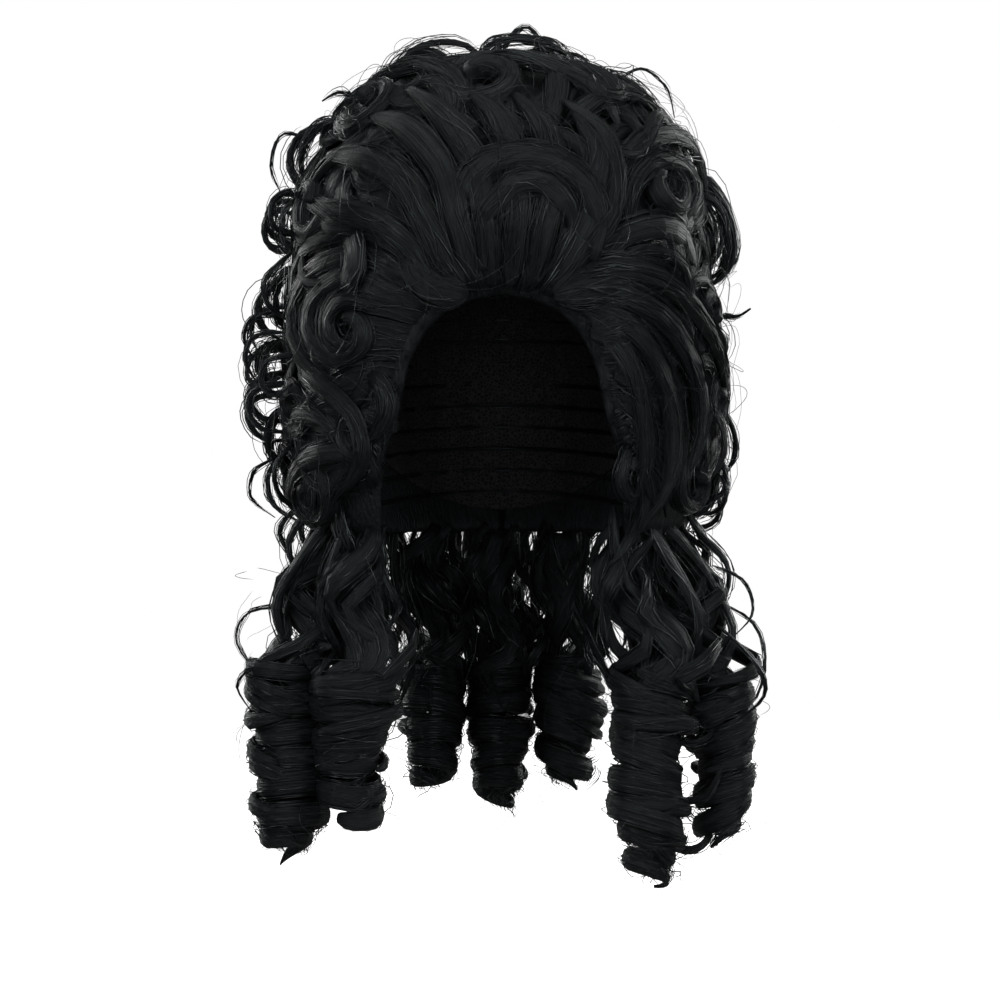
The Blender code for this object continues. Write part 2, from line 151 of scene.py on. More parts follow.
def catmullRom(rows, at):
    """The smooth curve through the rows at places from 0 to 1."""
    rows = np.asarray(rows, float)
    place = np.clip(np.atleast_1d(at), 0.0, 1.0) * (len(rows) - 1)
    i = np.minimum(place.astype(int), len(rows) - 2)
    t = (place - i)[:, None]
    before = rows[np.maximum(i - 1, 0)].copy()
    if rows[0][1] == 0:
        mirrored = rows[1] * np.where(np.arange(rows.shape[1]) == 0, 1, -1)
        before[i == 0] = mirrored
    near, far, after = rows[i], rows[i + 1], rows[np.minimum(i + 2, len(rows) - 1)]
    return 0.5 * (
        2 * near
        + (far - before) * t
        + (2 * before - 5 * near + 4 * far - after) * t ** 2
        + (3 * near - before - 3 * far + after) * t ** 3
    )


def heightOf(share):
    """Height of a share of the mass: 1 is its top, 0 the hairline's level and -1 its foot."""
    share = np.asarray(share, float)
    return share * np.where(share > 0, wig["massTop"], wig["massDrop"])


profileRows = catmullRom(massProfile, np.linspace(0, 1, 241))
profileRows[:, 0] = heightOf(profileRows[:, 0])
profileRows[:, 1] *= wig["massWidth"] / 2
profileRows[:, 2] *= wig["massFront"]
profileRows[:, 3] *= wig["massBack"]
profileRows = profileRows[np.argsort(profileRows[:, 0])]
massMiddle = np.array([0, 0, -0.2 * wig["massDrop"]])


def sectionAt(z):
    """Half width, front reach and back reach of the mass at heights. Below its foot it runs on."""
    return [
        np.where(z > wig["massTop"], 0.0, np.interp(z, profileRows[:, 0], profileRows[:, k]))
        for k in (1, 2, 3)
    ]


def ringPoint(azimuth, z, halfWidth, front, back):
    """A point of the mass's section. Azimuths start at the face and run to its right in the view."""
    reach = np.where(np.cos(azimuth) > 0, front, back)
    return np.stack([halfWidth * np.sin(azimuth), -reach * np.cos(azimuth), z + 0 * azimuth], -1)


def onMass(azimuthDegrees, height):
    azimuth, z = np.broadcast_arrays(np.radians(azimuthDegrees), heightOf(height))
    return ringPoint(azimuth, z, *sectionAt(z))


def unit(vectors):
    return vectors / np.maximum(np.linalg.norm(vectors, axis=-1, keepdims=True), 1e-12)


def between(low, high, share):
    return low + (high - low) * share


def eased(t):
    t = np.clip(t, 0.0, 1.0)
    return t * t * (3 - 2 * t)


search = {"halvings": 34, "least": 1e-9, "slopeStep": 0.002}


def dropped(points):
    """The points of the mass's surface in the same directions from its middle."""
    points = np.asarray(points, float)
    ray = unit(points - massMiddle)
    low = np.zeros(points.shape[:-1])
    high = np.full(points.shape[:-1], 3 * (wig["massTop"] + wig["massDrop"]))
    for _ in range(search["halvings"]):
        reach = (low + high) / 2
        at = massMiddle + ray * reach[..., None]
        halfWidth, front, back = sectionAt(at[..., 2])
        depth = np.where(at[..., 1] < 0, front, back)
        across = at[..., 0] / np.maximum(halfWidth, search["least"])
        along = at[..., 1] / np.maximum(depth, search["least"])
        inside = (halfWidth > search["least"]) & (across ** 2 + along ** 2 < 1)
        low, high = np.where(inside, reach, low), np.where(inside, high, reach)
    return massMiddle + ray * low[..., None]


def tangents(points):
    """Right, up and outwards on the mass at points of its surface."""
    ray = unit(points - massMiddle)
    right = np.cross(np.array([0, 0, 1.0]), ray)
    flat = np.linalg.norm(right, axis=-1, keepdims=True) > 0.05
    right = np.where(flat, unit(right), np.array([1.0, 0, 0]))
    up = np.cross(ray, right)
    step = search["slopeStep"]
    along = dropped(points + right * step) - dropped(points - right * step)
    above = dropped(points + up * step) - dropped(points - up * step)
    out = unit(np.cross(along, above))
    up = unit(np.cross(out, right))
    return np.cross(up, out), up, out


def gradients(points):
    """Direction of a path at each of its points."""
    first, last = points[1:2] - points[:1], points[-1:] - points[-2:-1]
    return unit(np.concatenate([first, points[2:] - points[:-2], last]))


def fullness(t, root, tip):
    """Share of the full section along a lock: it swells from its root and thins to its tip."""
    swell = np.minimum(1.0, between(root, 1, t / 0.15))
    thin = np.minimum(1.0, between(tip, 1, (1 - t) / 0.30))
    return np.minimum(swell, thin)


def makeGuide(at, side, lift, wide, thick):
    """A lock's path with its frame and half sizes, which its body and its strands both follow."""
    steps = np.linalg.norm(np.diff(at, axis=0), axis=1)
    length = np.concatenate([[0], np.cumsum(steps)])
    return {
        "at": at,
        "side": side,
        "lift": lift,
        "wide": np.broadcast_to(wide, len(at)).astype(float),
        "thick": np.broadcast_to(thick, len(at)).astype(float),
        "length": length,
        "along": length / length[-1],
    }


def facingGuide(at, facing, wide, thick):
    """A guide along a path whose broad face looks the way given."""
    ahead = gradients(at)
    side = unit(np.cross(ahead, facing))
    return makeGuide(at, side, np.cross(side, ahead), wide, thick)


def surfaceGuide(places, wide, thick, raised=0.0):
    """A guide on the mass along the places, as high above it as its own half thickness."""
    floors = dropped(places)
    out = tangents(floors)[2]
    side = unit(np.cross(gradients(floors), out))
    centre = floors + out * (wig["seatGap"] + thick + raised)[:, None]
    return makeGuide(centre, side, out, wide, thick)


# ---- materials ----

def nodeIn(tree, kind, inputs=None, **settings):
    """A node with its settings, and its inputs linked where the value is a socket."""
    made = tree.nodes.new(kind)
    for key, value in settings.items():
        setattr(made, key, value)
    for key, value in (inputs or {}).items():
        if isinstance(value, bpy.types.NodeSocket):
            tree.links.new(value, made.inputs[key])
        else:
            made.inputs[key].default_value = value
    return made


def newMaterial(name):
    material = bpy.data.materials.new(name)
    material.use_nodes = True
    material.node_tree.nodes.clear()
    return material, material.node_tree


def rampIn(tree, source, stops):
    """A colour ramp of (place, colour) stops."""
    ramp = nodeIn(tree, "ShaderNodeValToRGB", {0: source})
    elements = ramp.color_ramp.elements
    while len(elements) < len(stops):
        elements.new(0.5)
    for element, (place, colour) in zip(elements, stops):
        element.position = place
        element.color = (*colour, 1.0)
    return ramp.outputs[0]


def noiseIn(tree, at, scale, detail, **more):
    inputs = {"Vector": at, "Scale": scale, "Detail": detail, **more}
    return nodeIn(tree, "ShaderNodeTexNoise", inputs).outputs["Fac"]


def objectPlace(tree):
    return nodeIn(tree, "ShaderNodeTexCoord").outputs["Object"]


def surfaceWith(tree, inputs):
    """The material's shader with these inputs, linked to its output."""
    shader = nodeIn(tree, "ShaderNodeBsdfPrincipled", inputs)
    nodeIn(tree, "ShaderNodeOutputMaterial", {"Surface": shader.outputs[0]})


strandLook = {
    # place on the scale of tones, colour
    "tones": (
        (0.20, (0.0012, 0.0014, 0.0019)),
        (0.60, (0.0026, 0.0030, 0.0040)),
        (0.95, (0.0150, 0.0172, 0.0215)),
    ),
    "lightened": 0.12,
    "patchScale": 55.0,
    "sheen": (0.86, 0.97, 1.0, 1.0),
    "smooth": 0.25,
    "rough": 0.44,
    "specular": 0.44,
}


def strandMaterial():
    """Synthetic fibre: each strand has its own tone and gloss."""
    material, tree = newMaterial("hair strands")
    tone = nodeIn(tree, "ShaderNodeAttribute", attribute_name="tone").outputs["Fac"]
    patches = noiseIn(tree, objectPlace(tree), strandLook["patchScale"], 2.0)
    mixed = nodeIn(
        tree, "ShaderNodeMath", {0: tone, 1: patches, 2: strandLook["lightened"]}, operation="MULTIPLY_ADD",
    ).outputs[0]
    rough = nodeIn(tree, "ShaderNodeMapRange", {
        "Value": tone, "To Min": strandLook["rough"], "To Max": strandLook["smooth"],
    }).outputs[0]
    surfaceWith(tree, {
        "Base Color": rampIn(tree, mixed, strandLook["tones"]),
        "Roughness": rough,
        "Specular IOR Level": strandLook["specular"],
        "Specular Tint": strandLook["sheen"],
    })
    return material


bodyLook = {
    # the first tone is painted shade for the grooves between strands, the second the hair's own tone
    "tones": ((0.42, (0.0008, 0.0009, 0.0012)), (0.66, (0.0068, 0.0078, 0.0100))),
    # streaks to the metre along the lock, and across it
    "scale": (11.0, 620.0, 620.0),
    "detail": 5.0,
    "coarseness": 0.68,
    "bump": 1.0,
    "bumpDistance": 0.0018,
    "roughness": 0.46,
    "specular": 0.24,
}


def bodyMaterial():
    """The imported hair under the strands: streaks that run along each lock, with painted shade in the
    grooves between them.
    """
    material, tree = newMaterial("packed hair")
    flow = nodeIn(tree, "ShaderNodeAttribute", attribute_name="flow").outputs["Vector"]
    scaled = nodeIn(tree, "ShaderNodeVectorMath", {0: flow, 1: bodyLook["scale"]}, operation="MULTIPLY")
    streaks = noiseIn(tree, scaled.outputs[0], 1.0, bodyLook["detail"], Roughness=bodyLook["coarseness"])
    bump = nodeIn(tree, "ShaderNodeBump", {
        "Height": streaks, "Strength": bodyLook["bump"], "Distance": bodyLook["bumpDistance"],
    }).outputs[0]
    surfaceWith(tree, {
        # The streaks also set the bump below, so the darkest colour lies in its grooves as painted shade.
        "Base Color": rampIn(tree, streaks, bodyLook["tones"]),
        "Roughness": bodyLook["roughness"],
        "Specular IOR Level": bodyLook["specular"],
        "Specular Tint": strandLook["sheen"],
        "Normal": bump,
    })
    return material


# ---- strands ----

growth = {
    "outermost": 1.06,
    "noiseSpread": 50.0,
    "wildShare": 0.1,
    "driftScale": 2.2,
    "frizzScale": 70.0,
    "rootShare": 0.25,
    "rootRise": 9.0,
    "tipShare": 0.18,
    "tipFall": 4.5,
    "thinnest": 0.65,
    "thicker": 0.7,
}

treeInputs = (
    # name, kind, key of the look that gives it
    ("Geometry", "Geometry", None),
    ("Guides", "Object", None),
    ("Material", "Material", None),
    ("Strands", "Int", "strands"),
    ("Strand Radius", "Float", "strandRadius"),
    ("Frizz", "Float", "frizz"),
    ("Stray", "Float", "stray"),
    ("Twist", "Float", "twist"),
    ("Core", "Float", "core"),
    ("Loose Ends", "Float", "looseEnds"),
    ("Seed", "Int", None),
)


def strandTree():
    """Grows strands round each guide: copies of it, spread over the lock's section."""
    tree = bpy.data.node_groups.new("grow strands", "GeometryNodeTree")
    for name, kind, _ in treeInputs:
        tree.interface.new_socket(name=name, in_out="INPUT", socket_type="NodeSocket" + kind)
    tree.interface.new_socket(name="Geometry", in_out="OUTPUT", socket_type="NodeSocketGeometry")

    def add(kind, inputs=None, **settings):
        return nodeIn(tree, kind, inputs, **settings)

    def maths(operation, a, b=None, c=None):
        inputs = {k: v for k, v in enumerate((a, b, c)) if v is not None}
        return add("ShaderNodeMath", inputs, operation=operation).outputs[0]

    def vector(operation, a, b):
        second = "Scale" if operation == "SCALE" else 1
        return add("ShaderNodeVectorMath", {0: a, second: b}, operation=operation).outputs[0]

    def named(name, kind="FLOAT"):
        made = add("GeometryNodeInputNamedAttribute", {"Name": name}, data_type=kind)
        return made.outputs["Attribute"]

    def fill(sockets, values):
        for socket, value in zip(sockets, values):
            if isinstance(value, bpy.types.NodeSocket):
                tree.links.new(value, socket)
            else:
                socket.default_value = value

    def randomly(low, high, extraSeed, kind="FLOAT"):
        seed = maths("ADD", given["Seed"], extraSeed)
        made = add("FunctionNodeRandomValue", {"Seed": seed}, data_type=kind)
        fill([s for s in made.inputs if s.enabled and s.name in ("Min", "Max")], (low, high))
        return next(s for s in made.outputs if s.enabled)

    def keep(geometry, name, value, kind="FLOAT"):
        inputs = {"Geometry": geometry, "Name": name, "Value": value}
        return add("GeometryNodeStoreNamedAttribute", inputs, data_type=kind, domain="CURVE").outputs[0]

    given = tree.nodes.new("NodeGroupInput").outputs
    guides = add("GeometryNodeObjectInfo", {"Object": given["Guides"]}, transform_space="RELATIVE")
    curves = add("GeometryNodeMeshToCurve", {"Mesh": guides.outputs["Geometry"]}).outputs[0]
    hair = add(
        "GeometryNodeDuplicateElements", {"Geometry": curves, "Amount": given["Strands"]}, domain="SPLINE",
    ).outputs[0]
    spread = growth["noiseSpread"]
    wild = maths("MULTIPLY_ADD", randomly(0.0, 1.0, 5), 1 / growth["wildShare"], 1 - 1 / growth["wildShare"])
    hair = keep(hair, "spin", randomly(0.0, 2 * math.pi, 1))
    hair = keep(hair, "reach", randomly(given["Core"], growth["outermost"], 2))
    hair = keep(hair, "tone", randomly(0.0, 1.0, 3))
    hair = keep(hair, "own", randomly((-spread,) * 3, (spread,) * 3, 4, "FLOAT_VECTOR"), "FLOAT_VECTOR")
    hair = keep(hair, "wild", maths("MULTIPLY", maths("MAXIMUM", wild, 0.0), given["Stray"]))

    # Where on the section each strand lies: it drifts round the lock along its length.
    along = named("along")
    own = named("own", "FLOAT_VECTOR")
    driftAlong = add("ShaderNodeCombineXYZ", {0: maths("MULTIPLY", along, growth["driftScale"])}).outputs[0]
    drift = noiseIn(tree, vector("ADD", own, driftAlong), 1.0, 0.0)
    turned = maths("MULTIPLY_ADD", maths("SUBTRACT", drift, 0.5), given["Twist"], named("spin"))
    bulge = maths("SINE", maths("MULTIPLY", along, math.pi))
    reach = maths("MULTIPLY_ADD", named("wild"), bulge, named("reach"))
    across = maths("MULTIPLY", maths("MULTIPLY", maths("COSINE", turned), reach), named("wide"))
    above = maths("MULTIPLY", maths("MULTIPLY", maths("SINE", turned), reach), named("thick"))
    sideways = vector("SCALE", named("side", "FLOAT_VECTOR"), across)
    upwards = vector("SCALE", named("lift", "FLOAT_VECTOR"), above)
    moved = vector("ADD", sideways, upwards)

    # Frizz: a small bend of each strand's own.
    place = vector("SCALE", add("GeometryNodeInputPosition").outputs[0], growth["frizzScale"])
    frizzInputs = {"Vector": vector("ADD", place, own), "Scale": 1.0, "Detail": 1.0}
    noise = add("ShaderNodeTexNoise", frizzInputs).outputs["Color"]
    bent = vector("SCALE", vector("SUBTRACT", noise, (0.5, 0.5, 0.5)), maths("MULTIPLY", given["Frizz"], 2.0))
    hair = add("GeometryNodeSetPosition", {"Geometry": hair, "Offset": vector("ADD", moved, bent)}).outputs[0]

    # Strands start and end at their own places, and thin towards both ends.
    start = maths("MULTIPLY", randomly(0.0, 1.0, 6), maths("MULTIPLY", given["Loose Ends"], 0.5))
    stop = maths("SUBTRACT", 1.0, maths("MULTIPLY", randomly(0.0, 1.0, 7), given["Loose Ends"]))
    trim = add("GeometryNodeTrimCurve", {"Curve": hair}, mode="FACTOR")
    fill([s for s in trim.inputs if s.enabled and s.name in ("Start", "End")], (start, stop))
    factor = add("GeometryNodeSplineParameter").outputs["Factor"]
    rising = maths("MULTIPLY_ADD", factor, growth["rootRise"], growth["rootShare"])
    falling = maths("MULTIPLY_ADD", maths("SUBTRACT", 1.0, factor), growth["tipFall"], growth["tipShare"])
    tapered = maths("MULTIPLY", maths("MINIMUM", rising, 1.0), maths("MINIMUM", falling, 1.0))
    full = maths("MULTIPLY", tapered, given["Strand Radius"])
    share = maths("MULTIPLY_ADD", named("tone"), growth["thicker"], growth["thinnest"])
    radius = maths("MULTIPLY", full, share)
    ring = add("GeometryNodeCurvePrimitiveCircle", {"Resolution": 3, "Radius": 1.0}, mode="RADIUS").outputs[0]
    tubes = add("GeometryNodeCurveToMesh", {
        "Curve": trim.outputs[0], "Profile Curve": ring, "Scale": radius, "Fill Caps": True,
    }).outputs[0]
    tubes = add("GeometryNodeSetShadeSmooth", {"Geometry": tubes}).outputs[0]
    tubes = add("GeometryNodeRealizeInstances", {"Geometry": tubes}).outputs[0]
    tubes = add("GeometryNodeSetMaterial", {"Geometry": tubes, "Material": given["Material"]}).outputs[0]
    # The lock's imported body, a plain mesh, joins them with its own material.
    joined = add("GeometryNodeJoinGeometry")
    tree.links.new(tubes, joined.inputs[0])
    tree.links.new(given["Geometry"], joined.inputs[0])
    out = tree.nodes.new("NodeGroupOutput")
    tree.links.new(joined.outputs[0], out.inputs[0])
    return tree


def attributeOn(mesh, name, kind, values):
    made = mesh.attributes.new(name, kind, "POINT")
    field = "vector" if kind == "FLOAT_VECTOR" else "value"
    made.data.foreach_set(field, np.ascontiguousarray(values, np.float32).ravel())


def guideObject(name, guides):
    """The guides as one mesh of edges, with their frames and sizes on its points."""
    edges, first = [], 0
    for guide in guides:
        n = len(guide["at"])
        edges += [(first + i, first + i + 1) for i in range(n - 1)]
        first += n
    mesh = bpy.data.meshes.new(name)
    mesh.from_pydata(np.concatenate([g["at"] for g in guides]).tolist(), edges, [])
    for key in ("side", "lift", "wide", "thick", "along"):
        kind = "FLOAT_VECTOR" if key in ("side", "lift") else "FLOAT"
        attributeOn(mesh, key, kind, np.concatenate([g[key] for g in guides]))
    obj = bpy.data.objects.new(name, mesh)
    bpy.context.scene.collection.objects.link(obj)
    return obj


def bodyMesh(name, guides, share, sides):
    """Closed tubes along the guides, a little slimmer than the strands' own spread."""
    points, faces, flow, first = [], [], [], 0
    angles = 2 * np.pi * np.arange(sides) / sides
    for number, guide in enumerate(guides if share > 0 else []):
        wide, thick = (guide[key][:, None] for key in ("wide", "thick"))
        a = np.cos(angles)[None, :, None] * guide["side"][:, None, :] * (wide * share)[:, :, None]
        b = np.sin(angles)[None, :, None] * guide["lift"][:, None, :] * (thick * share)[:, :, None]
        ring = guide["at"][:, None, :] + a + b
        n = len(ring)
        points.append(ring.reshape(-1, 3))
        # A shift for each lock, so that no two show the same streaks
        section = np.zeros((n, sides, 3))
        section[..., 0] = guide["length"][:, None] + 0.37 * number
        section[..., 1] = np.cos(angles) * wide
        section[..., 2] = np.sin(angles) * thick
        flow.append(section.reshape(-1, 3))
        for i in range(n - 1):
            low, high = first + i * sides, first + (i + 1) * sides
            for j in range(sides):
                k = (j + 1) % sides
                faces.append((low + j, low + k, high + k, high + j))
        faces.append(tuple(first + j for j in reversed(range(sides))))
        faces.append(tuple(first + (n - 1) * sides + j for j in range(sides)))
        first += n * sides
    mesh = bpy.data.meshes.new(name)
    if points:
        mesh.from_pydata(np.concatenate(points).tolist(), [], faces)
        shape = bmesh.new()
        shape.from_mesh(mesh)
        bmesh.ops.recalc_face_normals(shape, faces=shape.faces)
        shape.to_mesh(mesh)
        shape.free()
        attributeOn(mesh, "flow", "FLOAT_VECTOR", np.concatenate(flow))
        mesh.shade_smooth()
    mesh.materials.append(packedHair)
    return mesh


def joinInto(body, base):
    shape = bmesh.new()
    shape.from_mesh(body)
    shape.from_mesh(base)
    shape.to_mesh(body)
    shape.free()
    body.shade_smooth()


def evaluatedMesh(obj):
    """The object's mesh with its modifiers applied, as a plain mesh."""
    bpy.context.view_layer.update()
    graph = bpy.context.evaluated_depsgraph_get()
    return bpy.data.meshes.new_from_object(obj.evaluated_get(graph))


seeds = iter(range(1, 10000))


def growPiece(name, guides, look, nodes=(), base=None):
    """One finished piece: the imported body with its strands, as one plain mesh."""
    body = bodyMesh(name, guides, look["body"], look.get("sides", 8))
    if base is not None:
        joinInto(body, base)
    piece = bpy.data.objects.new(name, body)
    bpy.context.scene.collection.objects.link(piece)
    lines = guideObject(name + " lines", guides)
    grow = piece.modifiers.new("strands", "NODES")
    grow.node_group = growTree
    values = {"Guides": lines, "Material": hairStrands, "Seed": next(seeds)}
    values.update((socket, look[key]) for socket, _, key in treeInputs if key)
    for item in growTree.interface.items_tree:
        if item.in_out == "INPUT" and item.name in values:
            grow[item.identifier] = values[item.name]
    finished = evaluatedMesh(piece)
    piece.modifiers.clear()
    piece.data = finished
    finished.name = name
    bpy.data.meshes.remove(body)
    bpy.data.meshes.remove(lines.data)
    for extra in ("own", "spin", "reach", "wild", "side", "lift", "wide", "thick", "along"):
        if extra in finished.attributes:
            finished.attributes.remove(finished.attributes[extra])
    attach(piece, "root")
    if nodes:
        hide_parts(*nodes)
    return piece


growTree = strandTree()
hairStrands = strandMaterial()
packedHair = bodyMaterial()
print("materials and strand tree ready")

# ---- flat curls ----

curlLook = {
    "strands": 22,
    "strandRadius": 0.00023,
    "frizz": 0.0005,
    "stray": 1.0,
    "twist": 3.0,
    "core": 0.86,
    "looseEnds": 0.16,
    "body": 0.88,
    "stepsATurn": 16,
    "tailSteps": 7,
    "leastBand": 0.40,
    "leastHeight": 0.55,
    "pitchShare": 0.95,
    "eyeShare": 0.30,
    "tailSpread": 0.16,
}

flatCurls = (
    # name, azimuth, height, radius, start, hand, tail
    ("temple_roll_left", -42, -0.37, 1.00, 60, 1, 0.36),
    ("temple_curl_left", -40, -0.71, 0.64, 60, 1, 0.30),
    ("cheek_curl_left", -63, -0.87, 0.70, 20, -1, 0.30),
    ("side_curl_left_1", -71, -0.29, 0.58, 250, 1, 0.40),
    ("side_curl_left_2", -70, -0.59, 0.70, 330, -1, 0.40),
    ("side_curl_left_3", -67, 0.04, 0.84, 330, -1, 0.50),
    ("crown_swirl_left", -34, 0.23, 0.94, 60, 1, 0.60),
    ("crown_curl_left", -56, 0.66, 0.84, 210, 1, 0.40),
    ("crown_curl_front", -8, 0.78, 0.94, 200, 1, 0.60),
    ("crown_curl_right", 40, 0.73, 0.88, 150, -1, 0.60),
    ("crown_swirl_right", 51, 0.13, 1.00, 150, -1, 0.40),
    ("pompadour_swirl", 7, -0.02, 1.00, 190, -1, 0.52),
    ("temple_curl_right", 37, -0.80, 0.36, 60, 1, 0.30),
    ("cheek_curl_right", 64, -0.84, 0.68, 160, 1, 0.30),
    ("side_curl_right_1", 75, -0.31, 0.54, 150, -1, 0.30),
    ("side_curl_right_2", 77, -0.59, 0.68, 210, 1, 0.40),
    ("top_curl_back", 185, 0.93, 0.80, 210, 1, 0.50),
)

curlRows = (
    # name, count, first, last, height, radius, start, hand, tail
    ("crown_back_curl", 3, 119, 236, 0.56, 0.98, 330, -1, 1.00),
    ("upper_back_curl", 5, 107, 243, -0.04, 0.92, 330, -1, 0.84),
    ("middle_back_curl", 5, 109, 252, -0.42, 0.94, 210, 1, 1.00),
    ("nape_curl", 5, 108, 246, -0.81, 0.90, 330, -1, 0.90),
)


def allCurls():
    rows = list(flatCurls)
    for name, count, first, last, *shape in curlRows:
        for i in range(count):
            rows.append((f"{name}_{i + 1}", first + (last - first) * i / (count - 1), *shape))
    return rows


def curlGuide(azimuth, height, radius, start, hand, tail):
    """A lock that runs in along its tail and then winds inwards, as the CAD's does."""
    middle = dropped(onMass(azimuth, height))
    right, up, _ = tangents(middle)
    band = wig["curlBand"] * between(curlLook["leastBand"], 1, radius)
    outer = radius * wig["curlRadius"] - band / 2
    pitch = curlLook["pitchShare"] * band
    turns = (outer - curlLook["eyeShare"] * band) / pitch
    tailLength = tail * wig["curlTail"]
    steps = math.ceil(turns * curlLook["stepsATurn"])
    i = np.arange(-curlLook["tailSteps"], steps + 1)
    runIn = np.maximum(0.0, -i / curlLook["tailSteps"])
    t = np.maximum(0.0, i / steps)
    angle = np.radians(start) + hand * 2 * np.pi * turns * t
    c, d = np.cos(angle)[:, None], np.sin(angle)[:, None]
    reach = outer - pitch * turns * t + curlLook["tailSpread"] * tailLength * runIn ** 2
    along = (up * c - right * d) * hand
    places = middle + (right * c + up * d) * reach[:, None] - along * (tailLength * runIn)[:, None]
    full = (1 - 0.45 * runIn ** 2) * (1 - 0.5 * t)
    tall = wig["curlHeight"] * between(curlLook["leastHeight"], 1, radius)
    tall = tall * (1 - 0.4 * runIn) * (0.9 + 0.3 * t)
    return surfaceGuide(places, band * full / 2, tall / 2)


for name, *shape in allCurls():
    growPiece(name + "_hair", [curlGuide(*shape)], curlLook, [name])
print("flat curls grown:", len(allCurls()))

# ---- sweeps from the hairline ----

sweepLook = dict(curlLook, strands=34, looseEnds=0.22, steps=25)

sweeps = (
    # name, places of azimuth and height
    ("front_sweep_right_1", ((14, -0.275), (30, -0.250), (46, -0.255), (62, -0.31))),
    ("front_sweep_right_2", ((24, -0.390), (36, -0.375), (48, -0.395), (60, -0.47))),
    ("front_sweep_right_3", ((31, -0.510), (40, -0.510), (49, -0.545), (57, -0.63))),
    ("front_sweep_left", ((-9, -0.275), (-20, -0.24), (-24, -0.13), (-20, 0.00))),
)


for name, places in sweeps:
    t = np.linspace(0, 1, sweepLook["steps"])
    azimuths, heights = catmullRom(places, t).T
    full = fullness(t, 0.3, 0.4) / 2
    guide = surfaceGuide(onMass(azimuths, heights), wig["sweepBand"] * full, wig["sweepHeight"] * full)
    growPiece(name + "_hair", [guide], sweepLook, [name])
print("sweeps grown:", len(sweeps))

# ---- standing loops ----

loopLook = {
    "strands": 26,
    "strandRadius": 0.00026,
    "frizz": 0.0014,
    "stray": 2.2,
    "twist": 4.0,
    "core": 0.25,
    "looseEnds": 0.20,
    "body": 0.42,
    "steps": 20,
}

loops = (
    # name, azimuth 1, height 1, azimuth 2, height 2, rise, swell
    ("top_loop_left", -96, 0.83, -70, 0.975, 0.62, 0.10),
    ("top_loop_centre", -40, 0.995, 96, 0.965, 0.72, 0.24),
    ("top_loop_right", 100, 0.91, 78, 0.60, 0.40, 0.12),
    ("side_loop_left_1", -84, 0.60, -89, 0.21, 0.75, 0.14),
    ("side_loop_left_2", -88, 0.11, -84, -0.10, 0.72, 0.20),
    ("side_loop_left_3", -85, -0.17, -90, -0.34, 0.68, 0.20),
    ("side_loop_left_4", -90, -0.41, -85, -0.55, 0.92, 0.30),
    ("side_loop_left_5", -86, -0.61, -89, -0.78, 0.80, 0.20),
    ("side_loop_right_1", 82, 0.48, 91, 0.27, 0.30, 0.14),
    ("side_loop_right_2", 82, 0.18, 93, -0.22, 0.80, 0.10),
    ("side_loop_right_3", 93, -0.76, 84, -0.93, 0.40, 0.20),
)


def loopGuide(azimuth1, height1, azimuth2, height2, rise, swell):
    """A lock that leaves the mass, arches over and comes back to it."""
    feet = dropped(onMass([azimuth1, azimuth2], [height1, height2]))
    span = feet[1] - feet[0]
    top = tangents(dropped(feet[0] + span / 2))[2]
    across = unit(np.cross(span, top))
    t = np.linspace(0, 1, loopLook["steps"] + 1)
    along = t - swell * np.sin(2 * np.pi * t)
    over = np.clip(along, 0.0, 1.0)
    floor = dropped(feet[0] + span * over[:, None])
    outs = tangents(floor)[2]
    lift = rise * wig["loopRise"] * np.sin(np.pi * t).clip(0) ** 0.8
    at = floor + span * (along - over)[:, None] + top * lift[:, None] + outs * wig["seatGap"]
    ahead = gradients(at)
    side = unit(across - ahead * (ahead @ across)[:, None])
    full = fullness(t, 0.7, 0.5) / 2
    return makeGuide(at, side, np.cross(side, ahead), wig["loopBand"] * full, wig["loopThickness"] * full)


for name, *shape in loops:
    growPiece(name + "_hair", [loopGuide(*shape)], loopLook, [name])
print("loops grown:", len(loops))

# ---- ringlets ----

ringletLook = {
    "strands": 26,
    "strandRadius": 0.00025,
    "frizz": 0.0007,
    "stray": 0.8,
    "twist": 3.0,
    "core": 0.84,
    "looseEnds": 0.10,
    "body": 0.90,
    "waveSteps": 15,
    "stepsATurn": 13,
    "swell": 0.08,
    "firstSwell": 0.085,
    "swellSpacing": 0.050,
    "uneven": 0.20,
    "closing": 0.45,
    "lean": 0.005,
    "heave": 0.0022,
    "tilt": 0.0036,
    "bandShare": 1.34,
    "thicknessShare": 1.30,
}

ringlets = (
    # name, root, across, behind, length, radius, swing, hand
    ("ringlet_left_outer", -82, -1.05, -0.22, 0.97, 1.00, -1.00, 1),
    ("ringlet_left_inner", -54, -0.71, -0.50, 0.86, 0.97, -0.60, -1),
    ("ringlet_right_inner", 54, 0.73, -0.50, 1.03, 0.97, -0.80, 1),
    ("ringlet_right_outer", 82, 1.05, -0.22, 0.92, 0.84, 0.70, -1),
    ("ringlet_back_left", 206, -0.36, 0.80, 0.80, 0.84, -0.60, 1),
    ("ringlet_back_middle", 180, 0.00, 0.86, 0.86, 0.84, -0.60, -1),
    ("ringlet_back_right", 154, 0.36, 0.80, 0.80, 0.84, -0.60, 1),
)


def headShare(z):
    """How much of its full width the head has at heights."""
    above = z + wig["headDome"]
    dome = np.sqrt(np.maximum(0.0, 1 - (above / wig["headDome"]) ** 2))
    below = 1 - wig["napeTaper"] * (above / (wig["massDrop"] - wig["headDome"])) ** 2
    return np.where(above > 0, dome, below)


def headPoint(azimuth, z, clear):
    """A point of the head's surface, moved outwards by a clearance."""
    dome = wig["headDome"]
    innerZ = np.where(z > -dome, (z + dome) / (dome + clear) * dome - dome, z)
    share = headShare(innerZ)
    across = (wig["headWidth"] / 2 + clear) * share
    along = (wig["headLength"] / 2 + clear) * share
    return np.stack([across * np.sin(azimuth), -along * np.cos(azimuth), z + 0 * azimuth], -1)


def outwards(angle):
    return np.stack([np.cos(angle), np.sin(angle), 0 * angle], -1)


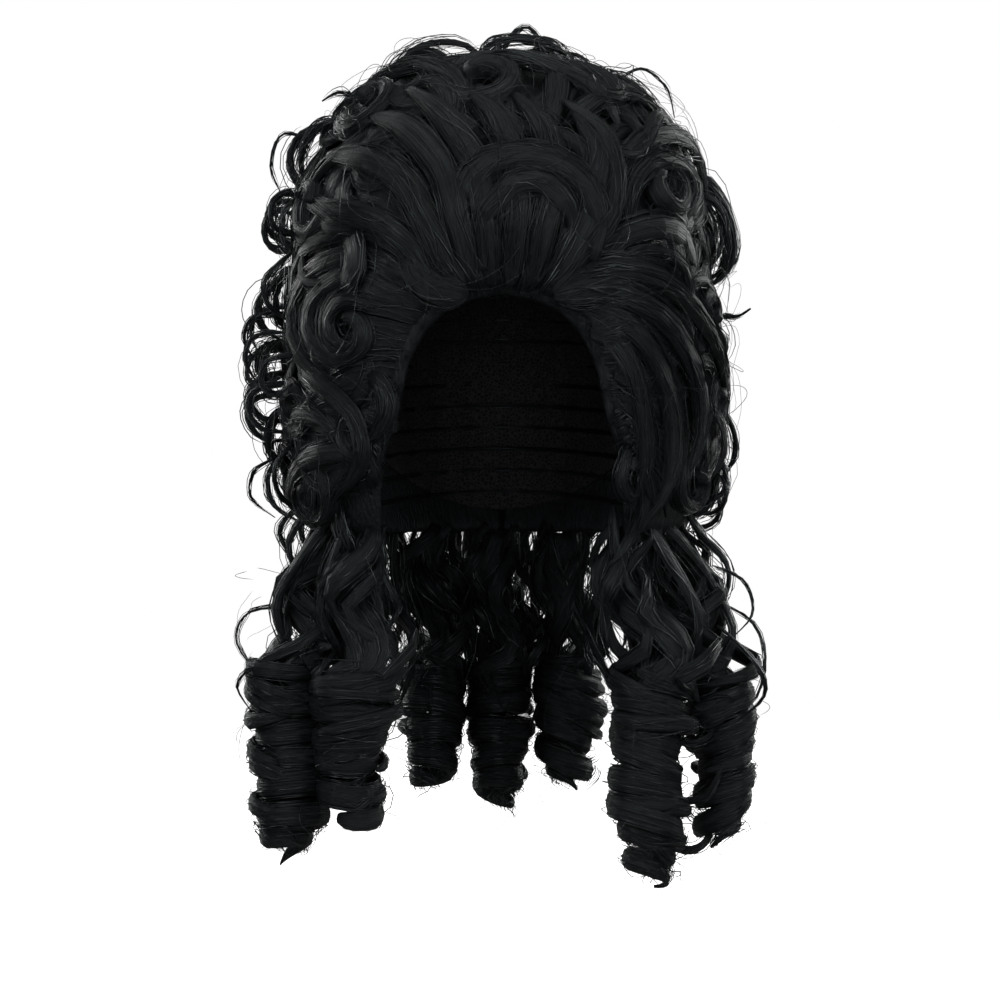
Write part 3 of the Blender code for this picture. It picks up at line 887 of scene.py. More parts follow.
def aboutLine(middle, reach, angle, z):
    """Points round an upright line that stands at the middle, by reach and angle."""
    x, y = middle[..., 0], middle[..., 1]
    return np.stack([x + reach * np.cos(angle), y + reach * np.sin(angle), z], -1)


def hangingPlace(across, behind):
    """The middle of a ringlet as seen from above."""
    depth = wig["massBack"] if behind > 0 else wig["massFront"]
    return np.array([across * wig["massWidth"] / 2, behind * depth])


def ringletFoot(length):
    return -wig["massDrop"] - length * wig["ringletLength"]


def swelling(fall):
    """Share of the radius down a ringlet: two fuller parts with a waist between them."""
    phase = (fall - ringletLook["firstSwell"]) / ringletLook["swellSpacing"]
    return 1 + ringletLook["swell"] * np.cos(2 * np.pi * phase)


def ringletGuide(root, across, behind, length, radius, swing, hand):
    """A root under the mass's foot, a loose wave, then wound turns to the tip."""
    look = ringletLook
    azimuth, foot = np.radians(root), -wig["massDrop"]
    inner = headPoint(azimuth, foot, wig["capWall"] + wig["seatGap"])
    start = (inner + ringPoint(azimuth, foot, *sectionAt(foot))) / 2
    start[2] = foot - wig["seatGap"]
    hang = np.array([*hangingPlace(across, behind), start[2]])
    woundLength = length * wig["ringletLength"] - wig["wavedLength"]
    turns = woundLength / wig["ringletPitch"]
    steps = look["waveSteps"] + math.ceil(turns * look["stepsATurn"])
    i = np.arange(steps + 1)
    inWave = np.minimum(1.0, i / look["waveSteps"])
    inTurns = np.maximum(0.0, (i - look["waveSteps"]) / (steps - look["waveSteps"]))
    fall = wig["wavedLength"] * inWave + woundLength * inTurns
    angle = math.copysign(math.pi / 2, behind) + hand * 2 * np.pi * turns * inTurns
    away = outwards(angle)

    # The turns are uneven in width and height, lean a little and close at the tip.
    slow = np.sin(angle * 0.37 + root) * np.cos(angle * 0.13 + 2 * across)
    uneven = swelling(fall) + look["uneven"] * inTurns * slow
    closing = 1 - 0.25 * inTurns ** 4 - look["closing"] * eased((inTurns - 0.90) / 0.10)
    wound = radius * wig["ringletRadius"] - wig["ringletThickness"] / 2
    reach = wound * eased((inWave - 0.3) / 0.7) * closing * uneven
    side = swing * wig["waveSwing"] * np.sin(2 * np.pi * inWave ** 1.3)
    lean = look["lean"] * np.sin(np.pi * inTurns)
    heave = look["heave"] * inTurns * (1 - inTurns) * 4 * np.sin(angle * 0.61 + 3 * root)
    tilt = look["tilt"] * eased(inTurns * 5) * np.cos(angle - root)
    drift = np.stack([side + lean * math.cos(root), lean * math.sin(root), heave + tilt - fall], -1)
    at = between(start, hang, eased(inWave)[:, None]) + away * reach[:, None] + drift

    ahead = gradients(at)
    ahead[0] = (0, 0, -1)
    acrossBand = unit(np.cross(ahead, away))
    out = unit(np.cross(acrossBand, ahead))
    woundShare = eased((inWave - 0.45) / 0.55)
    tip = (1 - 0.8 * eased((inTurns - 0.92) / 0.08)) * (1 - 0.4 * inTurns ** 6)
    full = tip * between(wig["rootShare"], 1, np.minimum(1.0, inWave / 0.25)) / 2
    band = between(wig["wavedBand"], wig["ringletBand"] * look["bandShare"], woundShare)
    thick = between(wig["wavedThickness"], wig["ringletThickness"] * look["thicknessShare"], woundShare)
    return makeGuide(at, acrossBand, out, full * band, full * thick)


for name, *shape in ringlets:
    growPiece(name + "_hair", [ringletGuide(*shape)], ringletLook, [name])
print("ringlets grown:", len(ringlets))

# ---- teased mass and its filling locks ----

draws = np.random.default_rng(7)


def archHalfWidth(z):
    """Half width of the face opening at heights."""
    depth = (-wig["hairlineDrop"] - z) / (wig["massDrop"] - wig["hairlineDrop"])
    half = np.interp(depth, faceArch[:, 0], faceArch[:, 1]) * wig["faceWidth"] / 2
    return np.where(depth < 0, -1.0, half)


def walk(start, heading, bend, length, steps):
    """Places on the mass from each start, with a heading in its tangent plane that bends as it goes."""
    at = dropped(start)
    right, up, out = tangents(at)
    ahead = right * np.cos(heading)[:, None] + up * np.sin(heading)[:, None]
    step = (length / steps)[:, None]
    path = [at]
    for i in range(steps):
        side = np.cross(out, ahead)
        turn = (bend(i / steps) * step[:, 0])[:, None]
        ahead = unit(ahead + side * turn)
        at = dropped(at + ahead * step)
        out = tangents(at)[2]
        ahead = unit(ahead - out * (ahead * out).sum(-1, keepdims=True))
        path.append(at)
    return np.stack(path, 1)


fillLook = {
    "strands": 11,
    "strandRadius": 0.00025,
    "frizz": 0.0009,
    "stray": 1.6,
    "twist": 3.0,
    "core": 0.62,
    "looseEnds": 0.30,
    "body": 0.72,
    "sides": 6,
    "rowStep": 0.017,
    "columnStep": 0.029,
    "steps": 11,
    "length": (0.055, 0.105),
    "bendRadius": (0.016, 0.040),
    "halfWidth": (0.0034, 0.0105),
    "halfThickness": (0.0034, 0.0020),
    "bulge": (0.003, 0.0125),
    "lowBulge": 0.45,
    "top": 0.075,
    "foot": -0.150,
    "azimuthSpread": 0.06,
    "heightSpread": 0.004,
    # height, number of locks
    "crownRows": ((0.073, 7), (0.062, 10), (0.048, 12)),
    "swing": (-0.6, 0.8),
    "waveSize": 1.7,
    "waves": 1.3,
    "faceMargin": 0.007,
}


def fillStarts():
    """Where the filling locks start: rows round the mass, closer on the crown."""
    starts = []
    for z in np.arange(fillLook["top"], fillLook["foot"], -fillLook["rowStep"]):
        halfWidth, front, back = sectionAt(z)
        girth = np.pi * (halfWidth + (front + back) / 2)
        count = max(3, int(girth / fillLook["columnStep"]))
        azimuths = 2 * np.pi * (np.arange(count) + draws.uniform(0, 1)) / count
        azimuths = azimuths + draws.normal(0, fillLook["azimuthSpread"], count)
        heights = z + draws.normal(0, fillLook["heightSpread"], count)
        starts.append(ringPoint(azimuths, heights, *sectionAt(heights)))
    for z, count in fillLook["crownRows"]:
        azimuths = 2 * np.pi * (np.arange(count) + draws.uniform(-0.3, 0.3, count)) / count
        starts.append(ringPoint(azimuths, np.full(count, z), *sectionAt(z)))
    return np.concatenate(starts)


def inFace(path, margin, lowered=0.0):
    opening = archHalfWidth(path[:, 2] - lowered) + margin
    return ((path[:, 1] < 0) & (np.abs(path[:, 0]) < opening)).any()


def fillGuides():
    """Waved locks all over the mass that rise and dip, clear of the face opening."""
    starts = fillStarts()
    n = len(starts)
    bendRadius = draws.uniform(*fillLook["bendRadius"], n) * draws.choice([-1, 1], n)
    waved = draws.uniform(0, 1, n) < 0.5
    phase = draws.uniform(0, 2 * np.pi, n)
    swing = draws.uniform(*fillLook["swing"], n)
    heading = draws.uniform(0, 2 * np.pi, n)
    length = draws.uniform(*fillLook["length"], n)

    def bend(t):
        wave = fillLook["waveSize"] * np.cos(2 * np.pi * fillLook["waves"] * t + phase)
        return np.where(waved, wave, 1 + swing * t) / bendRadius

    guides = []
    for path in walk(starts, heading, bend, length, fillLook["steps"]):
        x, y, z = path.mean(0)
        overBrow = y < -0.05 and abs(x) < 0.055 and -0.06 < z < 0.020
        tooLow = path[:, 2].min() < -wig["massDrop"] + 0.002
        if inFace(path, fillLook["faceMargin"], 0.004) or overBrow or tooLow:
            continue
        t = np.linspace(0, 1, len(path))
        full = fullness(t, 0.3, 0.25)
        wide = draws.uniform(*fillLook["halfWidth"]) * full
        thick = np.interp(wide.max(), fillLook["halfWidth"], fillLook["halfThickness"]) * full
        rise = draws.uniform(*fillLook["bulge"])
        # Near the outline and the top they lie low, so that the loops there stay open.
        if abs(x) > 0.82 * sectionAt(z)[0] or z > 0.042:
            rise *= fillLook["lowBulge"]
        raised = rise * np.sin(np.pi * t) ** 0.8 * (0.8 + 0.2 * np.cos(9 * t + wide[0] * 900))
        guides.append(surfaceGuide(path, wide, thick, raised))
    return guides


def quarterOf(guide):
    x, y, _ = guide["at"].mean(0)
    turn = math.degrees(math.atan2(x, -y))
    if abs(turn) < 50:
        return "pileFront"
    if abs(turn) > 130:
        return "pileBack"
    return "pileLeft" if turn < 0 else "pileRight"


quarters = {"pileFront": [], "pileLeft": [], "pileRight": [], "pileBack": []}
for guide in fillGuides():
    quarters[quarterOf(guide)].append(guide)
for key, guides in quarters.items():
    growPiece(key, guides, fillLook)
print("filling locks:", {k: len(v) for k, v in quarters.items()})

# ---- locks of the outline ----

outlineLook = {
    "strands": 11,
    "strandRadius": 0.00023,
    "frizz": 0.0015,
    "stray": 2.2,
    "twist": 4.0,
    "core": 0.28,
    "looseEnds": 0.30,
    "body": 0.50,
    "sides": 6,
    "steps": 14,
    "thickness": 0.42,
    "thinnest": 0.0006,
    "nearTurns": (13, -12),
    "turnSpread": 8.0,
    "heightSpread": 0.007,
    "farShare": 0.945,
    "sway": 0.006,
    "tilt": 0.9,
}

# Places are millimetres across and up, as seen from the front.
outlineLocks = (
    # depth, half width, turned copies, places
    (0, 4.5, (40, 78, 118, 150), ((-84, 8), (-101, 15), (-109, 28), (-103, 41), (-90, 46), (-80, 41))),
    (10, 2.0, (60,), ((-62, 53), (-72, 62), (-83, 66), (-92, 61))),
    (-5, 5.0, (75, 150), ((-59, 52), (-56, 71), (-46, 85), (-32, 90), (-16, 87), (-6, 74))),
    (5, 3.5, (110,), ((-52, 55), (-48, 70), (-38, 80), (-25, 81), (-16, 70))),
    (0, 1.8, (90,), ((-1, 70), (2, 89), (12, 98), (21, 89), (22, 74))),
    (8, 2.4, (), ((19, 76), (30, 86), (42, 83), (49, 68))),
    (-8, 4.6, (), ((33, 68), (44, 75), (52, 75), (59, 68))),
    (0, 5.0, (-60, -120), ((44, 62), (62, 69), (75, 59), (83, 44), (79, 31), (66, 27))),
    (5, 4.0, (-45, -90, -135), ((72, 24), (87, 36), (97, 26), (94, 12))),
    (-3, 4.6, (-35, -72, -110, -150), ((85, 16), (104, 18), (115, 4), (119, -13), (114, -28), (100, -37))),
    (6, 2.8, (-50, -125), ((90, 2), (103, 1), (109, -13), (101, -26))),
    (-12, 2.4, (-80,), ((99, -58), (109, -50), (119, -50), (126, -46))),
    (-4, 4.2, (-40, -75, -112, -150), ((94, -62), (107, -56), (114, -64), (109, -78))),
    (0, 4.0, (-30, -66, -100, -140), ((103, -88), (116, -103), (119, -119), (112, -133))),
    (-5, 3.2, (-50, -90, -130), ((99, -126), (112, -132), (113, -145), (104, -150), (97, -142))),
    (0, 4.4, (35, 70, 104, 146), ((-106, -17), (-119, -13), (-121, -1), (-112, 5), (-102, -2))),
    (-6, 3.6, (50, 92, 130), ((-111, -28), (-124, -41), (-123, -54), (-112, -62))),
    (0, 3.6, (40, 84), ((-112, -66), (-127, -69), (-130, -80), (-122, -86), (-113, -80))),
    (-8, 2.6, (60, 115), ((-110, -48), (-126, -50), (-131, -61), (-126, -72))),
    (0, 4.8, (38, 76, 112, 150), ((-108, -88), (-125, -91), (-130, -100), (-123, -111), (-107, -113))),
    (-6, 3.4, (45, 88, 134), ((-109, -117), (-119, -130), (-116, -145), (-103, -154))),
    (-10, 3.4, (30,), ((-98, -140), (-113, -158), (-104, -175))),
    # the waves over the ringlets
    (-30, 10.0, (), ((-82, -146), (-101, -172), (-113, -194), (-108, -214), (-95, -232))),
    (-44, 8.0, (), ((-75, -150), (-87, -178), (-90, -199), (-80, -219), (-73, -240))),
    (-52, 7.5, (), ((-64, -148), (-68, -174), (-60, -200), (-64, -224), (-77, -240))),
    (-48, 3.4, (), ((-68, -160), (-55, -188), (-52, -199), (-63, -214))),
    (-22, 6.0, (), ((-96, -146), (-108, -166), (-98, -190), (-84, -206), (-92, -232))),
    (-8, 7.0, (), ((-92, -150), (-102, -178), (-92, -204), (-104, -226), (-98, -244))),
    (10, 6.0, (), ((-84, -150), (-94, -174), (-82, -196), (-92, -218))),
    (-26, 4.4, (), ((-100, -228), (-119, -238), (-122, -251), (-106, -261))),
    (-50, 4.6, (), ((-80, -238), (-67, -236), (-55, -247), (-60, -258), (-78, -263))),
    (-30, 8.5, (), ((72, -146), (94, -168), (110, -192), (116, -213), (106, -229), (92, -226))),
    (-42, 9.0, (), ((66, -148), (86, -176), (99, -204), (94, -226), (98, -244))),
    (-54, 8.5, (), ((55, -146), (60, -180), (76, -199), (74, -219), (62, -232))),
    (-52, 6.0, (), ((53, -170), (51, -192), (55, -214), (69, -228), (76, -246))),
    (-36, 7.0, (), ((80, -150), (78, -178), (92, -200), (84, -222), (96, -240))),
    (-12, 8.0, (), ((92, -146), (104, -170), (95, -196), (107, -220), (100, -246))),
    (8, 7.0, (), ((84, -150), (96, -176), (86, -200), (98, -222))),
    (-34, 1.8, (), ((108, -206), (126, -223), (132, -240), (121, -252))),
    (-20, 3.6, (), ((100, -160), (114, -176), (112, -192), (98, -200))),
    (-34, 6.0, (), ((78, -250), (90, -264), (104, -261), (106, -246))),
    (-36, 6.5, (), ((78, -280), (88, -293), (102, -291), (110, -276))),
    (-30, 5.5, (), ((80, -304), (90, -318), (102, -315), (107, -300))),
    # thin wisps
    (-24, 0.9, (), ((-104, -196), (-128, -200), (-134, -214), (-122, -232))),
    (-30, 0.8, (), ((-100, -232), (-122, -226), (-133, -236), (-126, -250))),
    (-20, 0.9, (), ((112, -196), (128, -206), (133, -226), (126, -246), (112, -254))),
    (-26, 0.8, (), ((106, -176), (122, -184), (126, -200), (116, -212))),
    (0, 0.9, (), ((-112, -120), (-126, -128), (-128, -142), (-116, -152))),
    (5, 0.8, (), ((60, 72), (72, 78), (84, 68), (88, 52))),
    (0, 0.8, (), ((-96, 40), (-112, 44), (-118, 28), (-112, 12))),
)


def turnedAbout(points, degrees):
    """The points turned about the wig's upright middle line, kept as far off the mass as they were."""
    turn = math.radians(degrees)
    c, d = math.cos(turn), math.sin(turn)
    x, y, z = points.T
    halfWidth, front, back = sectionAt(z)
    across, along = c * x - d * y, d * x + c * y
    reach = np.where(along < 0, front, back)
    along = along * np.where(halfWidth > 0.03, reach / np.maximum(halfWidth, 0.03), 1.0)
    return np.stack([across, along, z], -1)


def outlineCopy(points, turn):
    at = turnedAbout(points, -turn + draws.normal(0, outlineLook["turnSpread"]))
    at = at + np.array([0, 0, draws.normal(0, outlineLook["heightSpread"])])
    share = outlineLook["farShare"] if abs(turn) > 60 else 1.0
    return at * np.array([share, share, 1.0])


def outlineGuides():
    """Locks that follow the photographed outline, with turned copies round the sides and the back."""
    guides = []
    t = np.linspace(0, 1, outlineLook["steps"])
    full = fullness(t, 0.75, 0.35)
    for depth, half, copies, places in outlineLocks:
        x, z = catmullRom(places, t).T / 1000
        points = np.stack([x, np.full(len(x), depth / 1000), z], -1)
        near = outlineLook["nearTurns"] if len(copies) > 1 and abs(x).min() > 0.06 else ()
        for turn in (0, *copies, *near):
            at = outlineCopy(points, turn) if turn else points
            sway = draws.uniform(-outlineLook["sway"], outlineLook["sway"]) * np.sin(np.pi * t * 1.5)
            at = at + np.array([0, 1.0, 0]) * sway[:, None]
            ahead = gradients(at)
            side = unit(np.cross(ahead, unit(at * (1, 1, 0.4) + np.array([0, 0, 0.03]))))
            side = unit(side + outlineLook["tilt"] * np.cross(ahead, side) * draws.uniform(-1, 1))
            wide = half / 1000 * full
            thick = outlineLook["thickness"] * wide + outlineLook["thinnest"]
            guides.append(makeGuide(at, side, np.cross(side, ahead), wide, thick))
    return guides


growPiece("outlineLocks", outlineGuides(), outlineLook)
print("outline locks grown")

# ---- flow of the front ----

flowLook = {
    "strands": 36,
    "strandRadius": 0.00022,
    "frizz": 0.0010,
    "stray": 1.7,
    "twist": 2.5,
    "core": 0.55,
    "looseEnds": 0.18,
    "body": 0.80,
    "sides": 6,
    "steps": 15,
    "halfThickness": 0.0032,
}

# Places are millimetres across and up, laid back onto the mass.
flowLocks = (
    # half width, raised, places
    # the roll on the left: arcs that wind in
    (7.5, 9.0, ((-38, -50), (-48, -31), (-67, -24), (-88, -32), (-97, -54), (-90, -76), (-72, -86))),
    (7.0, 10.5, ((-44, -52), (-55, -38), (-70, -34), (-84, -44), (-87, -60), (-77, -74), (-64, -75))),
    (5.5, 11.0, ((-50, -56), (-60, -46), (-71, -46), (-77, -56), (-73, -66), (-63, -68))),
    (6.0, 8.0, ((-34, -44), (-44, -24), (-66, -12), (-90, -18), (-104, -38))),
    # under the roll
    (6.0, 8.0, ((-72, -86), (-58, -84), (-52, -96), (-58, -110), (-72, -112))),
    (7.0, 9.0, ((-100, -80), (-86, -84), (-68, -100), (-64, -122), (-78, -140))),
    (7.0, 9.0, ((-60, -120), (-74, -118), (-92, -124), (-98, -142), (-86, -156))),
    (5.5, 8.0, ((-104, -110), (-94, -100), (-80, -104), (-72, -118))),
    # up from the brow
    (8.5, 11.0, ((-32, -41), (-40, -22), (-56, -8), (-76, -2), (-92, 6))),
    (9.0, 13.0, ((-24, -40), (-30, -16), (-42, 6), (-60, 20), (-80, 26))),
    (9.0, 14.5, ((-14, -39), (-18, -12), (-26, 14), (-42, 34), (-60, 42))),
    (9.0, 15.0, ((-5, -39), (-6, -12), (-12, 16), (-26, 38), (-42, 54))),
    (9.0, 15.0, ((4, -39), (6, -12), (6, 14), (-2, 36), (-16, 52))),
    (9.0, 14.5, ((13, -39), (18, -14), (22, 10), (18, 32), (6, 50))),
    (8.5, 13.0, ((22, -40), (32, -20), (40, 2), (42, 24), (32, 46))),
    # the arch over the brow
    (9.5, 16.5, ((-20, -26), (-22, -6), (-8, 12), (12, 17), (32, 8), (42, -10), (40, -28))),
    (8.0, 17.0, ((-8, -30), (-10, -12), (2, 1), (16, 4), (28, -5), (31, -20))),
    (7.0, 13.0, ((24, -38), (42, -16), (50, 8), (44, 32), (28, 48))),
    # the swirl of the crown's right
    (7.0, 10.5, ((44, -16), (52, 12), (66, 32), (86, 34), (98, 18), (96, -2))),
    (6.5, 11.0, ((60, -14), (58, 6), (68, 20), (82, 18), (88, 4), (80, -8))),
    (6.0, 9.0, ((30, 40), (48, 52), (66, 50), (78, 38))),
    # smooth sweeps to the right
    (8.5, 10.0, ((20, -40), (48, -30), (76, -38), (96, -62), (104, -92), (102, -120))),
    (8.5, 10.5, ((26, -42), (52, -42), (74, -56), (88, -82), (90, -112), (82, -138))),
    (8.0, 9.5, ((34, -46), (54, -54), (70, -76), (78, -104), (76, -134), (64, -154))),
    (6.5, 8.0, ((42, -52), (56, -70), (64, -96), (66, -124), (60, -150))),
    (5.0, 7.0, ((64, -116), (58, -122), (55, -132), (60, -139), (66, -134))),
    # the crown
    (7.0, 9.0, ((-76, 44), (-62, 60), (-40, 68), (-20, 58), (-16, 42))),
    (7.0, 9.0, ((-20, 76), (0, 72), (22, 66), (44, 54), (56, 36))),
    (6.0, 9.0, ((-50, 30), (-30, 32), (-22, 46), (-32, 58), (-50, 56))),
)


def flowGuides():
    """Locks laid back from the front view onto the mass, raised off it after their root."""
    guides = []
    t = np.linspace(0, 1, flowLook["steps"])
    full = fullness(t, 0.35, 0.3)
    thick = flowLook["halfThickness"] * full
    arching = between(0.2, 1, eased(t / 0.35)) * (1 - 0.35 * eased((t - 0.7) / 0.3))
    for half, raised, places in flowLocks:
        x, z = catmullRom(places, t).T / 1000
        halfWidth, front, _ = sectionAt(z)
        inside = 1 - (x / np.maximum(halfWidth, 0.01)) ** 2
        points = np.stack([x, -front * np.sqrt(np.maximum(inside, 0.01)), z], -1)
        lift = np.maximum(raised / 1000 * arching - thick, 0.0)
        guides.append(surfaceGuide(points, half / 1000 * full, thick, lift))
    return guides


growPiece("frontFlow", flowGuides(), flowLook)
print("front flow grown")

# ---- looser coils over the ringlets ----

coilLook = {
    "strands": 10,
    "strandRadius": 0.00024,
    "frizz": 0.0008,
    "stray": 1.6,
    "twist": 4.0,
    "core": 0.5,
    "looseEnds": 0.25,
    "body": 0.74,
    "sides": 6,
    "coils": 9,
    "steps": 13,
    "halfWidth": (0.0034, 0.0070),
    "halfThickness": 0.0028,
    "radiusShare": (0.96, 1.20),
    "winding": (2.6, 5.0),
    "fall": (0.006, 0.016),
    "tilt": 0.007,
    "tuck": 0.72,
    "clearance": 0.012,
    "lowest": -0.334,
}


def coilGuides():
    """Shorter coils that wind round each ringlet at their own tilt, and cross its turns."""
    look = coilLook
    guides = []
    t = np.linspace(0, 1, look["steps"])
    full = fullness(t, 0.3, 0.3)
    tucked = between(look["tuck"], 1, np.sin(np.pi * np.clip(0.1 + 0.8 * t, 0, 1)) ** 0.6)
    top = -wig["massDrop"] - wig["wavedLength"] + look["clearance"]
    for _, _, across, behind, length, size, _, hand in ringlets:
        middle = hangingPlace(across, behind)
        foot = ringletFoot(length) + 2 * look["clearance"]
        for i in range(look["coils"]):
            share = (i + draws.uniform(0, 0.8)) / look["coils"]
            high = between(top, foot, share)
            radius = size * wig["ringletRadius"] * (1 - 0.22 * share ** 3)
            radius *= draws.uniform(*look["radiusShare"]) * swelling(-wig["massDrop"] - high)
            angle = draws.uniform(0, 2 * np.pi) + hand * draws.uniform(*look["winding"]) * t
            tilt = draws.uniform(-look["tilt"], look["tilt"]) * np.cos(angle)
            z = high - draws.uniform(*look["fall"]) * t + tilt
            at = aboutLine(middle, radius * tucked, angle, np.maximum(z, look["lowest"]))
            wide = draws.uniform(*look["halfWidth"]) * full
            guides.append(facingGuide(at, outwards(angle), wide, look["halfThickness"] * full))
    return guides


growPiece("looseCoils", coilGuides(), coilLook)
print("loose coils grown")

# ---- waves over the ringlets ----

wrapLook = {
    "strands": 12,
    "strandRadius": 0.00024,
    "frizz": 0.0009,
    "stray": 1.8,
    "twist": 4.0,
    "core": 0.5,
    "looseEnds": 0.20,
    "body": 0.74,
    "sides": 6,
    "locks": 6,
    "steps": 20,
    "halfWidth": (0.0042, 0.0072),
    "halfThickness": 0.0026,
    "fallShare": 0.66,
    "fall": (0.068, 0.082),
    "windFall": (0.008, 0.022),
    "winding": (1.8, 3.6),
    "waves": (0.9, 1.5),
    "rootSpread": 0.009,
    "spread": (0.96, 1.14),
    "wobble": 0.004,
    "turnWobble": 0.8,
    "clear": 0.003,
    "raised": 0.004,
}


def wrapGuides():
    """Waved locks that fall round each ringlet's own wave and wind once about its top."""
    look, fallShare = wrapLook, wrapLook["fallShare"]
    guides = []
    half = look["steps"] // 2
    t = np.concatenate([np.linspace(0, fallShare, half, endpoint=False), np.linspace(fallShare, 1, half)])
    inFall = np.clip(t / fallShare, 0, 1)
    inWind = np.clip((t - fallShare) / (1 - fallShare), 0, 1)
    thick = look["halfThickness"] * fullness(t, 0.6, 0.3)
    foot = -wig["massDrop"]
    for _, root, across, behind, _, size, swing, hand in ringlets:
        azimuth = np.radians(root)
        start = (headPoint(azimuth, foot, look["clear"]) + ringPoint(azimuth, foot, *sectionAt(foot))) / 2
        centre = between(start[:2], hangingPlace(across, behind), eased(inFall)[:, None])
        centre[:, 0] += 0.8 * swing * wig["waveSwing"] * np.sin(2 * np.pi * inFall ** 1.3)
        for i in range(look["locks"]):
            first = 2 * np.pi * (i + draws.uniform(-0.3, 0.3)) / look["locks"]
            phase, waves = draws.uniform(0, 2 * np.pi), draws.uniform(*look["waves"])
            wave = 2 * np.pi * waves * inFall + phase
            outer = size * wig["ringletRadius"] * draws.uniform(*look["spread"])
            reach = between(look["rootSpread"], outer, eased(inFall))
            reach = reach + look["wobble"] * np.sin(wave) * (1 - inWind)
            winding = hand * draws.uniform(*look["winding"]) * inWind
            angle = first + look["turnWobble"] * np.sin(wave + 1.3) + winding
            lower = draws.uniform(*look["fall"]) * inFall + draws.uniform(*look["windFall"]) * inWind
            at = aboutLine(centre, reach, angle, foot + look["raised"] - lower)
            wide = draws.uniform(*look["halfWidth"]) * fullness(t, 0.6, 0.25)
            guides.append(facingGuide(at, outwards(angle), wide, thick))
    return guides


growPiece("ringletWaves", wrapGuides(), wrapLook)
print("waves over the ringlets grown")

# ---- frayed tips ----

tipLook = {
    "strands": 12,
    "strandRadius": 0.00024,
    "frizz": 0.0016,
    "stray": 2.0,
    "twist": 5.0,
    "core": 0.2,
    "looseEnds": 0.50,
    "body": 0.0,
    "locks": 9,
    "steps": 11,
    "halfWidth": 0.0044,
    "halfThickness": 0.0026,
    "winding": (1.0, 2.8),
    "outer": 0.85,
    "closing": (0.2, 0.8),
    "start": (0.010, 0.028),
    "fall": (0.010, 0.024),
    "lowest": -0.342,
}


def tipGuides():
    """Thin curved ends under each ringlet."""
    look = tipLook
    guides = []
    t = np.linspace(0, 1, look["steps"])
    full = fullness(t, 0.7, 0.1)
    for _, _, across, behind, length, size, _, hand in ringlets:
        for _ in range(look["locks"]):
            angle = draws.uniform(0, 2 * np.pi) + hand * draws.uniform(*look["winding"]) * t
            reach = size * wig["ringletRadius"] * (look["outer"] - draws.uniform(*look["closing"]) * t)
            z = ringletFoot(length) + draws.uniform(*look["start"]) - draws.uniform(*look["fall"]) * t
            at = aboutLine(hangingPlace(across, behind), reach, angle, np.maximum(z, look["lowest"]))
            wide, thick = look["halfWidth"] * full, look["halfThickness"] * full
            guides.append(facingGuide(at, (0.2, 0.3, 1.0), wide, thick))
    return guides


growPiece("frayedTips", tipGuides(), tipLook)
print("frayed tips grown")

# ---- stray hairs ----

strayLook = {
    "strands": 1,
    "strandRadius": 0.00013,
    "frizz": 0.0014,
    "stray": 0.0,
    "twist": 0.0,
    "core": 0.0,
    "looseEnds": 0.25,
    "body": 0.0,
    "hairs": 400,
    "steps": 14,
    "half": 0.0002,
    "heights": (-0.150, 0.076),
    "bendRadius": (0.010, 0.035),
    "length": (0.03, 0.09),
    "clear": 0.006,
    "rise": (0.004, 0.015),
    "aRinglet": 26,
    "sweep": 2.2,
    "radius": 0.021,
    "standOff": 0.007,
    "fall": (0.004, 0.035),
    "lowest": -0.338,
}


def strayGuides():
    """Single hairs that stand off the mass and the ringlets in open arcs."""
    look = strayLook
    n = look["hairs"]
    azimuth = draws.uniform(0, 2 * np.pi, n)
    z = draws.uniform(*look["heights"], n)
    heading = draws.uniform(0, 2 * np.pi, n)
    bendRadius = draws.uniform(*look["bendRadius"], n) * draws.choice([-1, 1], n)
    length = draws.uniform(*look["length"], n)
    starts = ringPoint(azimuth, z, *sectionAt(z))
    guides = []
    t = np.linspace(0, 1, look["steps"] + 1)
    thin = np.full(len(t), look["half"])
    for path in walk(starts, heading, lambda _: 1 / bendRadius, length, look["steps"]):
        if not inFace(path, -0.004):
            rise = look["clear"] + draws.uniform(*look["rise"]) * np.sin(np.pi * t)
            guides.append(surfaceGuide(path, thin, thin, rise))
    for _, _, across, behind, length, *_ in ringlets:
        for _ in range(look["aRinglet"]):
            angle = draws.uniform(0, 2 * np.pi) + draws.uniform(-look["sweep"], look["sweep"]) * t
            radius = look["radius"] + draws.uniform(0, look["standOff"]) * np.sin(np.pi * t)
            high = -wig["massDrop"] - draws.uniform(0, length * wig["ringletLength"])
            z = np.maximum(high - draws.uniform(*look["fall"]) * t, look["lowest"])
            at = aboutLine(hangingPlace(across, behind), radius, angle, z)
            guides.append(facingGuide(at, (0.3, 0.2, 1.0), look["half"], look["half"]))
    return guides


growPiece("strayHairs", strayGuides(), strayLook)
print("stray hairs grown")

# ---- the teased mass itself ----

massLook = {"voxel": 0.0040, "smoothing": 5, "smoothShare": 0.5, "flowSpread": 0.1}


def cadNode(name):
    """The CAD's own object for a node."""
    for obj in bpy.context.scene.objects:
        if obj.get("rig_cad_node") == name:
            return obj
    raise KeyError(name)


